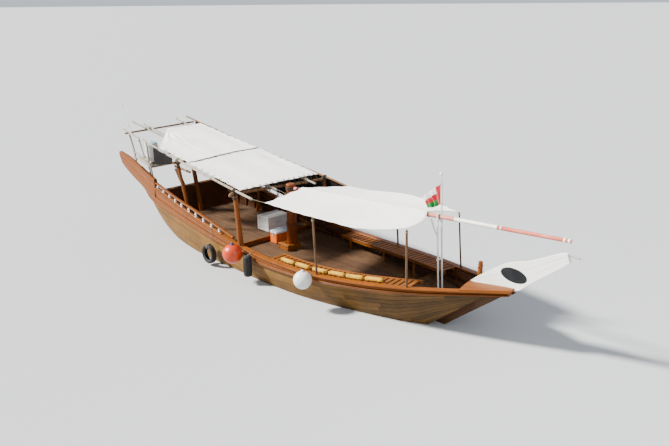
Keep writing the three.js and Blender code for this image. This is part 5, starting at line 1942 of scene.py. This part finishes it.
def longFender(ropes):
    x, y = -0.11, -1.935
    profile = [(0.02, 0.232), (0.06, 0.236), (0.095, 0.25), (0.115, 0.28)]
    for k in range(12):
        z = 0.31 + 0.47 * k / 11
        profile += [(0.12, z), (0.1165, z + 0.006), (0.1165, z + 0.014), (0.12, z + 0.02)]
    profile += [(0.112, 0.822), (0.09, 0.845), (0.05, 0.856), (0.03, 0.86), (0.012, 0.861)]
    shape = Shape().turn(profile, (x, y, 0), sides=28)
    shape.piece("long_fender", "rubber", slot="black_rubber", stands=["fender_black"], smooth=40)
    edge = Vector((x, -1.805, capTop(x) + 0.01))
    ropes.tube([Vector((x, y, 0.858)), edge, edge + Vector((0, 0.13, 0))], 0.007, 8)


# half the section of the tyre: radius, and share of the half width; the other half is its mirror image
tyreOuter = [
    (0.178, 0.5), (0.176, 0.62), (0.19, 0.7), (0.215, 0.93), (0.245, 1), (0.268, 0.97), (0.284, 0.86),
    (0.2895, 0.72), (0.2905, 0.6), (0.285, 0.58), (0.285, 0.52), (0.292, 0.5), (0.2935, 0.05), (0.286, 0.03),
]
tyreInner = [(0.2, 0.4), (0.262, 0.62), (0.268, 0), (0.262, -0.62), (0.2, -0.4)]


def tyre(ropes):
    centre = Vector((-2.1, -1.876, 0.37))
    half, segments = 0.084, 144
    section = [(r, -wide) for r, wide in tyreOuter] + tyreOuter[::-1] + tyreInner
    rows = []
    for k, turn in enumerate(turnsOf(segments, True)):
        ring = []
        for r, wide in section:
            grooved = k % 4 < 2 and 0.55 < abs(wide) < 0.95 and r > 0.28
            reach = r - (0.005 if grooved else 0)
            ring.append(centre + Vector((reach * sin(turn), wide * half, reach * cos(turn))))
        rows.append(ring)
    shape = Shape().loft(rows, capped=False)
    shape.piece("tyre_fender", "rubber", slot="black_rubber", stands=["fender_tyre"], smooth=50)
    top = centre + Vector((0, 0, 0.235))
    looped(ropes, top, Vector((0, 0.095, 0)), Vector((0, 0, 0.072)), Vector((0.014, 0, 0)), 2, 0.007)
    edge = Vector((-2.1, -(line(-2.1, "b") + 0.09), capTop(-2.1) + 0.01))
    up = centre + Vector((0, 0.02, 0.31))
    ropes.tube([up, up.lerp(edge, 0.5), edge, edge + Vector((0, 0.1, 0.0))], 0.007, 8)


def fenders():
    ropes = Shape()
    for ball in balls:
        ballFender(ropes, ball)
    longFender(ropes)
    tyre(ropes)
    ropes.piece("fender_ropes", "rope", slot="canvas", smooth=70)


fenders()
print("fenders made")

# cool box, drum, antenna, bollard and the chest's fittings
def coolBox():
    shape = Shape()
    x0, x1, y0, y1, z0, z1 = -1.35, -1.01, -0.15, 0.4, 0.506, 0.9
    shape.loft(roundBox(x0 + 0.012, x1 - 0.012, y0 + 0.012, y1 - 0.012, z0, z1 - 0.085, 0.035, 0.012))
    shape.loft(roundBox(x0 + 0.004, x1 - 0.004, y0 + 0.004, y1 - 0.004, z1 - 0.12, z1 - 0.085, 0.04, 0.006))
    for y in (y0 + 0.11, (y0 + y1) / 2, y1 - 0.11):
        for x in (x0 + 0.008, x1 - 0.008):
            shape.board((x, y, z0 + 0.03), (x, y, z1 - 0.13), (0, 0.05, 0), (0.012, 0, 0), 0.004)
    lid = Shape()
    lid.loft(roundBox(x0, x1, y0, y1, z1 - 0.083, z1 - 0.018, 0.045, 0.008))
    lid.loft(roundBox(x0 + 0.04, x1 - 0.04, y0 + 0.05, y1 - 0.05, z1 - 0.02, z1 - 0.004, 0.03, 0.005),
             finish=1)
    middle, outer, inner = (x0 + x1) / 2, [], []
    for out, up in ((0.002, -0.14), (0.008, -0.06), (-0.02, -0.006), (-0.09, 0.012)):
        outer.append((middle, y0 - out, z1 + up))
        inner.insert(0, (middle, y1 + out, z1 + up))
    lid.tube(smoothPath(outer + inner, 4), 0.009, 10)
    for y, out in ((y0 - 0.002, -1), (y1 + 0.002, 1)):
        pivot = [(0.024, -0.004), (0.024, 0.004), (0.018, 0.01), (0, 0.011)]
        lid.turn(pivot, (middle, y, z1 - 0.14), (0, out, 0), 16)
    shape.piece("cool_box_body", plastic("orange_shell", orange), slot="orange_plastic", stands=["cool_box"],
                smooth=40)
    lid.piece("cool_box_lid", [plastic("lid_white", white), plastic("lid_blue", paleBlue)],
              slot="white_plastic", smooth=40)


def drumPiece():
    shape = Shape()
    foot, r = Vector((-6.56, -1.025, 2.385)), 0.215
    profile = [(0.15, 0), (0.195, 0.001), (r - 0.004, 0.012), (r - 0.002, 0.03)]
    for z in (0.19, 0.39):
        profile += [(r - 0.002, z - 0.02), (r + 0.001, z - 0.01), (r + 0.001, z + 0.01),
                    (r - 0.002, z + 0.02)]
    profile += [(r - 0.002, 0.555), (r, 0.56), (r, 0.58), (r - 0.008, 0.585)]
    shape.turn(profile, foot, (0, 0, 1), 40)
    dome = [(r - 0.008, 0.584), (r - 0.014, 0.605), (r - 0.045, 0.64), (r - 0.1, 0.667), (0.045, 0.682),
            (0.043, 0.698), (0.036, 0.704), (0, 0.705)]
    shape.turn(dome, foot, sides=40, finish=1)
    for turn in turnsOf(10):
        at = foot + Vector((0.043 * cos(turn), 0.043 * sin(turn), 0.69))
        shape.board(at, at + Vector((0, 0, 0.012)), (0.006, 0, 0), (0, 0.006, 0), 0.001, finish=1)
    materials = [plastic("drum_white", (0.9, 0.9, 0.89)), plastic("drum_blue", (0.55, 0.7, 0.82))]
    shape.piece("water_drum", materials, slot="white_plastic", stands=["drum"], smooth=40)


def antennaPiece():
    shape = Shape()
    a, b = Vector((-7.24, -1.375, 3.3)), Vector((-7.64, -1.39, 4.26))
    along = (b - a).normalized()
    high = (b - a).length
    profile = [(0.0, 0), (0.017, 0), (0.019, 0.004), (0.019, 0.06), (0.016, 0.066), (0.015, 0.3),
               (0.0165, 0.302), (0.0165, 0.33), (0.014, 0.334), (0.012, 0.7), (0.0135, 0.702),
               (0.0135, 0.72), (0.0115, 0.724), (0.0095, high - 0.012), (0.0115, high - 0.01),
               (0.0115, high), (0, high)]
    shape.turn(profile, a, along, 14)
    shape.piece("antenna_whip", "white_paint", slot="white_plastic", stands=["antenna"], smooth=50)


def bollard():
    shape = Shape()
    foot = Vector((6.05, 0.215, 0.96))
    profile = [(0.06, 0), (0.058, 0.5), (0.056, 0.74), (0.051, 0.75), (0.051, 0.765), (0.056, 0.775),
               (0.054, 0.8), (0.044, 0.816), (0, 0.82)]
    shape.turn(profile, foot, (0, 0, 1), 20)
    shape.piece("bow_bollard", "varnish", slot="varnished_wood", stands=["samson_post"], smooth=40)
    pin = [(0, -0.115), (0.012, -0.112), (0.013, -0.1), (0.01, -0.095), (0.01, 0.095), (0.013, 0.1),
           (0.012, 0.112), (0, 0.115)]
    shape = Shape().turn(pin, foot + Vector((0, 0, 0.68)), (0, 1, 0), 14)
    shape.piece("bollard_pin", "bronze", slot="bronze", smooth=50)


chestWhite = plastic("chest_white", white)
chestGrey = plastic("chest_grey", (0.5, 0.52, 0.53))


def chestFittings():
    x0, x1, y0, y1 = -2.33, -1.79, 0.16, 0.97
    ribs, high = (0.7, 0.83, 0.96), (0, 0, 0.03)
    shape = Shape()
    for x in (x0 - 0.001, x1 + 0.001):
        for z in ribs:
            shape.board((x, y0 + 0.06, z), (x, y1 - 0.06, z), high, (0.008, 0, 0), 0.003)
    for z in ribs:
        y = y0 - 0.001
        shape.board((x0 + 0.05, y, z), (x1 - 0.05, y, z), high, (0, 0.008, 0), 0.003)
    shape.loft(roundBox(x0 - 0.003, x1 + 0.003, y0 - 0.003, y1 + 0.003, 0.644, 0.675, 0.02, 0.006))
    shape.piece("chest_ribs", chestWhite, slot="white_plastic", smooth=40)
    dark = Shape()
    middle = (y0 + y1) / 2
    for x, out in ((x0, -1), (x1, 1)):
        grip = ((0.004, -0.09), (0.022, -0.075), (0.024, 0), (0.022, 0.075), (0.004, 0.09))
        path = [(x + out * proud, middle + along, 0.9) for proud, along in grip]
        dark.tube(smoothPath(path, 4), 0.008, 10)
        for y in (middle - 0.09, middle + 0.09):
            dark.board((x, y - 0.018, 0.9), (x, y + 0.018, 0.9), (0, 0, 0.045), (0.014, 0, 0), 0.003)
    drain = [(0.024, 0), (0.024, 0.012), (0.018, 0.016), (0, 0.017)]
    dark.turn(drain, (x0 + 0.1, y0 - 0.001, 0.72), (0, -1, 0), 18)
    dark.piece("chest_handles", chestGrey, slot="black_rubber", smooth=40)
    lid = Shape()
    lid.loft(roundBox(x0 + 0.05, x1 - 0.05, y0 + 0.05, y1 - 0.05, 1.094, 1.1, 0.05, 0.003))
    for y in (y0 + 0.2, y1 - 0.2):
        lid.loft(roundBox(x0 + 0.08, x1 - 0.08, y - 0.12, y + 0.12, 1.098, 1.103, 0.03, 0.002))
    lid.piece("chest_lid_panels", chestWhite, body="chest_lid", slot="white_plastic", smooth=40)
    latches = Shape()
    for x in (x0 + 0.13, x1 - 0.13):
        top, low = (x, y0 - 0.0085, 1.075), (x, y0 - 0.0125, 1.0)
        latches.board(top, low, (0.03, 0, 0), (0, 0.006, 0), 0.002)
        for at, r in ((low, 0.009), (top, 0.008)):
            barrel = [(0, -0.02), (r - 0.001, -0.019), (r, 0), (r - 0.001, 0.019), (0, 0.02)]
            latches.turn(barrel, at, (1, 0, 0), 12)
    latches.piece("chest_latches", chestGrey, body="chest_lid", slot="black_rubber", smooth=40)


coolBox()
drumPiece()
antennaPiece()
bollard()
chestFittings()
print("boxes and deck fittings made")

# lashings of the awning frame and lacing of the cloths
foreAndAft = Vector((1, 0, -0.09))


def beamAlong(name):
    return Vector((0, 1, beams[name]["slope"]))


# edge poles to the cross beams
def poleLashings(light, dark):
    crossings = ((dark, "mid", -0.835, -1.73, 2.545), (light, "aft", -4.05, -1.54, 2.89),
                 (dark, "mid", -0.835, 1.73, 2.33), (light, "aft", -4.05, 1.555, 2.785))
    for shape, name, x, y, z in crossings:
        centre = Vector((x, y, (z + beamZ(name, y)) / 2))
        high = abs(z - beamZ(name, y)) / 2 + beams[name]["r"] + 0.006
        lashing(shape, centre, foreAndAft, beamAlong(name), high, 0.07, 4, 0.007)


def battenLashings(light):
    for batten in battens:
        for name in ("mid", "aft", "bar"):
            x, r = beams[name]["x"], beams[name]["r"]
            if batten["end"] < x:
                continue
            gap = r + battenR + (battenGap if name != "bar" else -0.016)
            centre = Vector((x, batten["y"], beamZ(name, batten["y"]) + gap / 2))
            lashing(light, centre, foreAndAft, beamAlong(name), gap / 2 + r + 0.002, 1.45 * r + 0.006, 3)


def postLashings(dark):
    for side, midY, aftY in ((-1, 1.71, 1.54), (1, 1.688, 1.49)):
        for name, x, y, r, wide in (("mid", -0.84, midY, 0.066, 0.1), ("aft", -4.05, aftY, 0.05, 0.08)):
            centre = Vector((x, side * y, beamZ(name, side * y)))
            lashing(dark, centre, beamAlong(name), (0, 0, 1), r + 0.009, wide, 4, 0.007)
            coil(dark, centre - Vector((0, 0, 0.15)), (0, 0, 1), r + 0.001, 5, 0.007)


# the spar's heel on the mast, and its fore end on the staff
def sparLashings(light, dark):
    along = (1, 0, spar["slope"])
    coil(dark, (mast["x"], 0, 2.36), (0, 0, 1), mast["r1"] + 0.003, 5, 0.008)
    coil(dark, sparPoint(-0.1), along, 0.062, 5, 0.008)
    for y in (-0.068, 0.068):
        dark.tube([(-0.32, y * 1.5, 2.365), (-0.2, y * 1.1, 2.37), (-0.1, y, sparZ(-0.1))], 0.007, 8)
    for x in (4.66, 4.98):
        coil(light, sparPoint(x), along, sparR(x) + 0.001, 4, 0.006)


def frameLashings():
    light, dark = Shape(), Shape()
    poleLashings(light, dark)
    battenLashings(light)
    postLashings(dark)
    for stake in stakes:
        coil(light, (stake["x"], stake["topY"], stake["top"] - 0.05), (0, 0, 1), stake["r"], 4, 0.005)
    for side in (-1, 1):
        for x, y, z in ((-7.32, 1.275, 2.625), (-7.285, 1.28, 2.463), (-6.305, 1.302, 2.438),
                        (-6.29, 1.306, 2.265), (-6.9, 1.277, 3.06), (-6.63, 1.285, 2.5), (-7.26, 1.285, 2.2)):
            coil(light, (x, side * y, z), (0.1, 0, 1), 0.035, 4, 0.005)
    sparLashings(light, dark)
    light.piece("lashings_light", "rope", slot="canvas", smooth=70)
    dark.piece("lashings_dark", "dark_rope", slot="dark_cloth", smooth=70)


# two turns that draw a point of a cloth to the axis of a pole
def tieRound(shape, tie, on, axis, slack, r, rope):
    reach = (tie - on) / 2
    flat = reach.normalized()
    looped(shape, (tie + on) / 2, flat * (reach.length + slack), axis.cross(flat) * r, axis * 0.012, 2, rope)


# between the aft and mid cloths
def seamLacing(dark):
    count = 30
    path = []
    for k in range(count + 1):
        edge = aftGrid[-1] if k % 2 else midGrid[0]
        path.append(alongEdge(edge, k / count) + Vector((0, 0, 0.008)))
    dark.tube(path, 0.005, 6)


# long edges to the edge poles
def edgeLacing(light):
    ends = ((0, nearTable), (-1, farTable))
    for grid in (aftGrid, midGrid):
        for edge, pole in ends:
            points = [row[edge] for row in grid]
            for k in range(1, 8):
                tie = alongEdge(points, k / 8)
                on = Vector((tie.x, straight(pole, tie.x, "y"), straight(pole, tie.x, "z")))
                if tie.x >= pole[0]["x"] + 0.05 and (tie - on).length / 2 <= 0.16:
                    tieRound(light, tie, on, Vector((1, 0, 0)), 0.036, 0.037, 0.0045)


# mid cloth to the cross beam
def beamLacing(dark):
    for k in range(1, 14):
        tie = alongEdge(midGrid[-1], k / 14)
        on = Vector((beams["mid"]["x"], tie.y, beamZ("mid", tie.y)))
        tieRound(dark, tie, on, Vector((0, 1, 0)), 0.05, 0.056, 0.005)


# corners of the fore cloth to the edge poles and its long edges to the stakes
def cornerTies(light):
    near, far = ([row[edge] for row in foreGrid] for edge in (0, -1))
    for corner, end in ((near[0], nearPole[-1]), (far[0], farPole[-1])):
        light.tube([corner, corner.lerp(Vector(end), 0.5), Vector(end)], 0.005, 8)
        coil(light, Vector(end) - Vector((0.04, 0, 0)), foreAndAft, 0.032, 3, 0.005)
    for stake in stakes:
        top = Vector((stake["x"], stake["topY"], stake["top"]))
        tie = min(near if stake["y"] < 0 else far, key=lambda point: (point - top).length)
        head = Vector((stake["x"], stake["topY"], stake["top"] - 0.03))
        light.tube([tie, tie.lerp(head, 0.5) - Vector((0, 0, 0.003)), head], 0.005, 8)


def lacing():
    light, dark = Shape(), Shape()
    seamLacing(dark)
    edgeLacing(light)
    beamLacing(dark)
    cornerTies(light)
    light.piece("lacing_light", "rope", slot="canvas", smooth=70)
    dark.piece("lacing_dark", "dark_rope", slot="dark_cloth", smooth=70)


frameLashings()
lacing()
print("lashings and lacing made")

# finishes of the pieces that show as they were drawn
def dress(node, material, bevel=0.004):
    made = nodes[node]
    made.data.materials.clear()
    made.data.materials.append(material)
    made.data.shade_smooth()
    made.data.set_sharp_from_angle(angle=radians(35))
    if bevel:
        edge = made.modifiers.new("edges", "BEVEL")
        edge.width = bevel
        edge.segments = 2
        edge.limit_method = "ANGLE"
        edge.angle_limit = radians(40)


dress("hull_shell", look("inner_wood", along="x"), 0)
dress("transom", look("hull_wood", along="y"), 0)
dress("keel", look("keel_wood", along="x"), 0.006)
dress("stem_post", look("keel_wood", along="x"), 0.006)
for deck in decks:
    dress("deck_" + deck["name"], look("caulk"), 0)
dress("rudder", look("keel_wood", along="z"), 0.004)
dress("propeller_shaft", look("bronze"), 0.002)
dress("engine", look("ironwork"), 0.01)
dress("ice_chest", chestWhite, 0.008)
dress("ice_chest_lid", chestWhite, 0.01)
print("CAD pieces dressed")

# floor at the waterline, soft studio light
def setStage():
    data = bpy.data.meshes.new("floor")
    far = 3000
    data.from_pydata([(-far, -far, 0), (far, -far, 0), (far, far, 0), (-far, far, 0)], [], [(0, 1, 2, 3)])
    floor = placed("floor", data)
    pale = bpy.data.materials.new("floor")
    pale.use_nodes = True
    shader = pale.node_tree.nodes["Principled BSDF"]
    shader.inputs["Base Color"].default_value = (0.4, 0.415, 0.43, 1)
    shader.inputs["Roughness"].default_value = 0.9
    data.materials.append(pale)
    world = bpy.data.worlds.new("studio")
    world.use_nodes = True
    world.node_tree.nodes["Background"].inputs["Color"].default_value = (0.86, 0.92, 1, 1)
    world.node_tree.nodes["Background"].inputs["Strength"].default_value = 0.8
    bpy.context.scene.world = world
    for name, kind, energy, place, aim, size in (
        ("key", "SUN", 15.5, (-12, -10.5, 13), (0, 0, 0), 0.12),
        ("fill", "AREA", 900, (16, -4, 9), (3, 0, 1), 8),
    ):
        lamp = bpy.data.lights.new(name, kind)
        lamp.energy = energy
        if kind == "SUN":
            lamp.angle = size
            lamp.color = (1, 0.965, 0.9)
        else:
            lamp.size = size
        light = placed(name, lamp)
        light.location = place
        light.rotation_euler = (Vector(aim) - Vector(place)).to_track_quat("-Z", "Y").to_euler()


setStage()
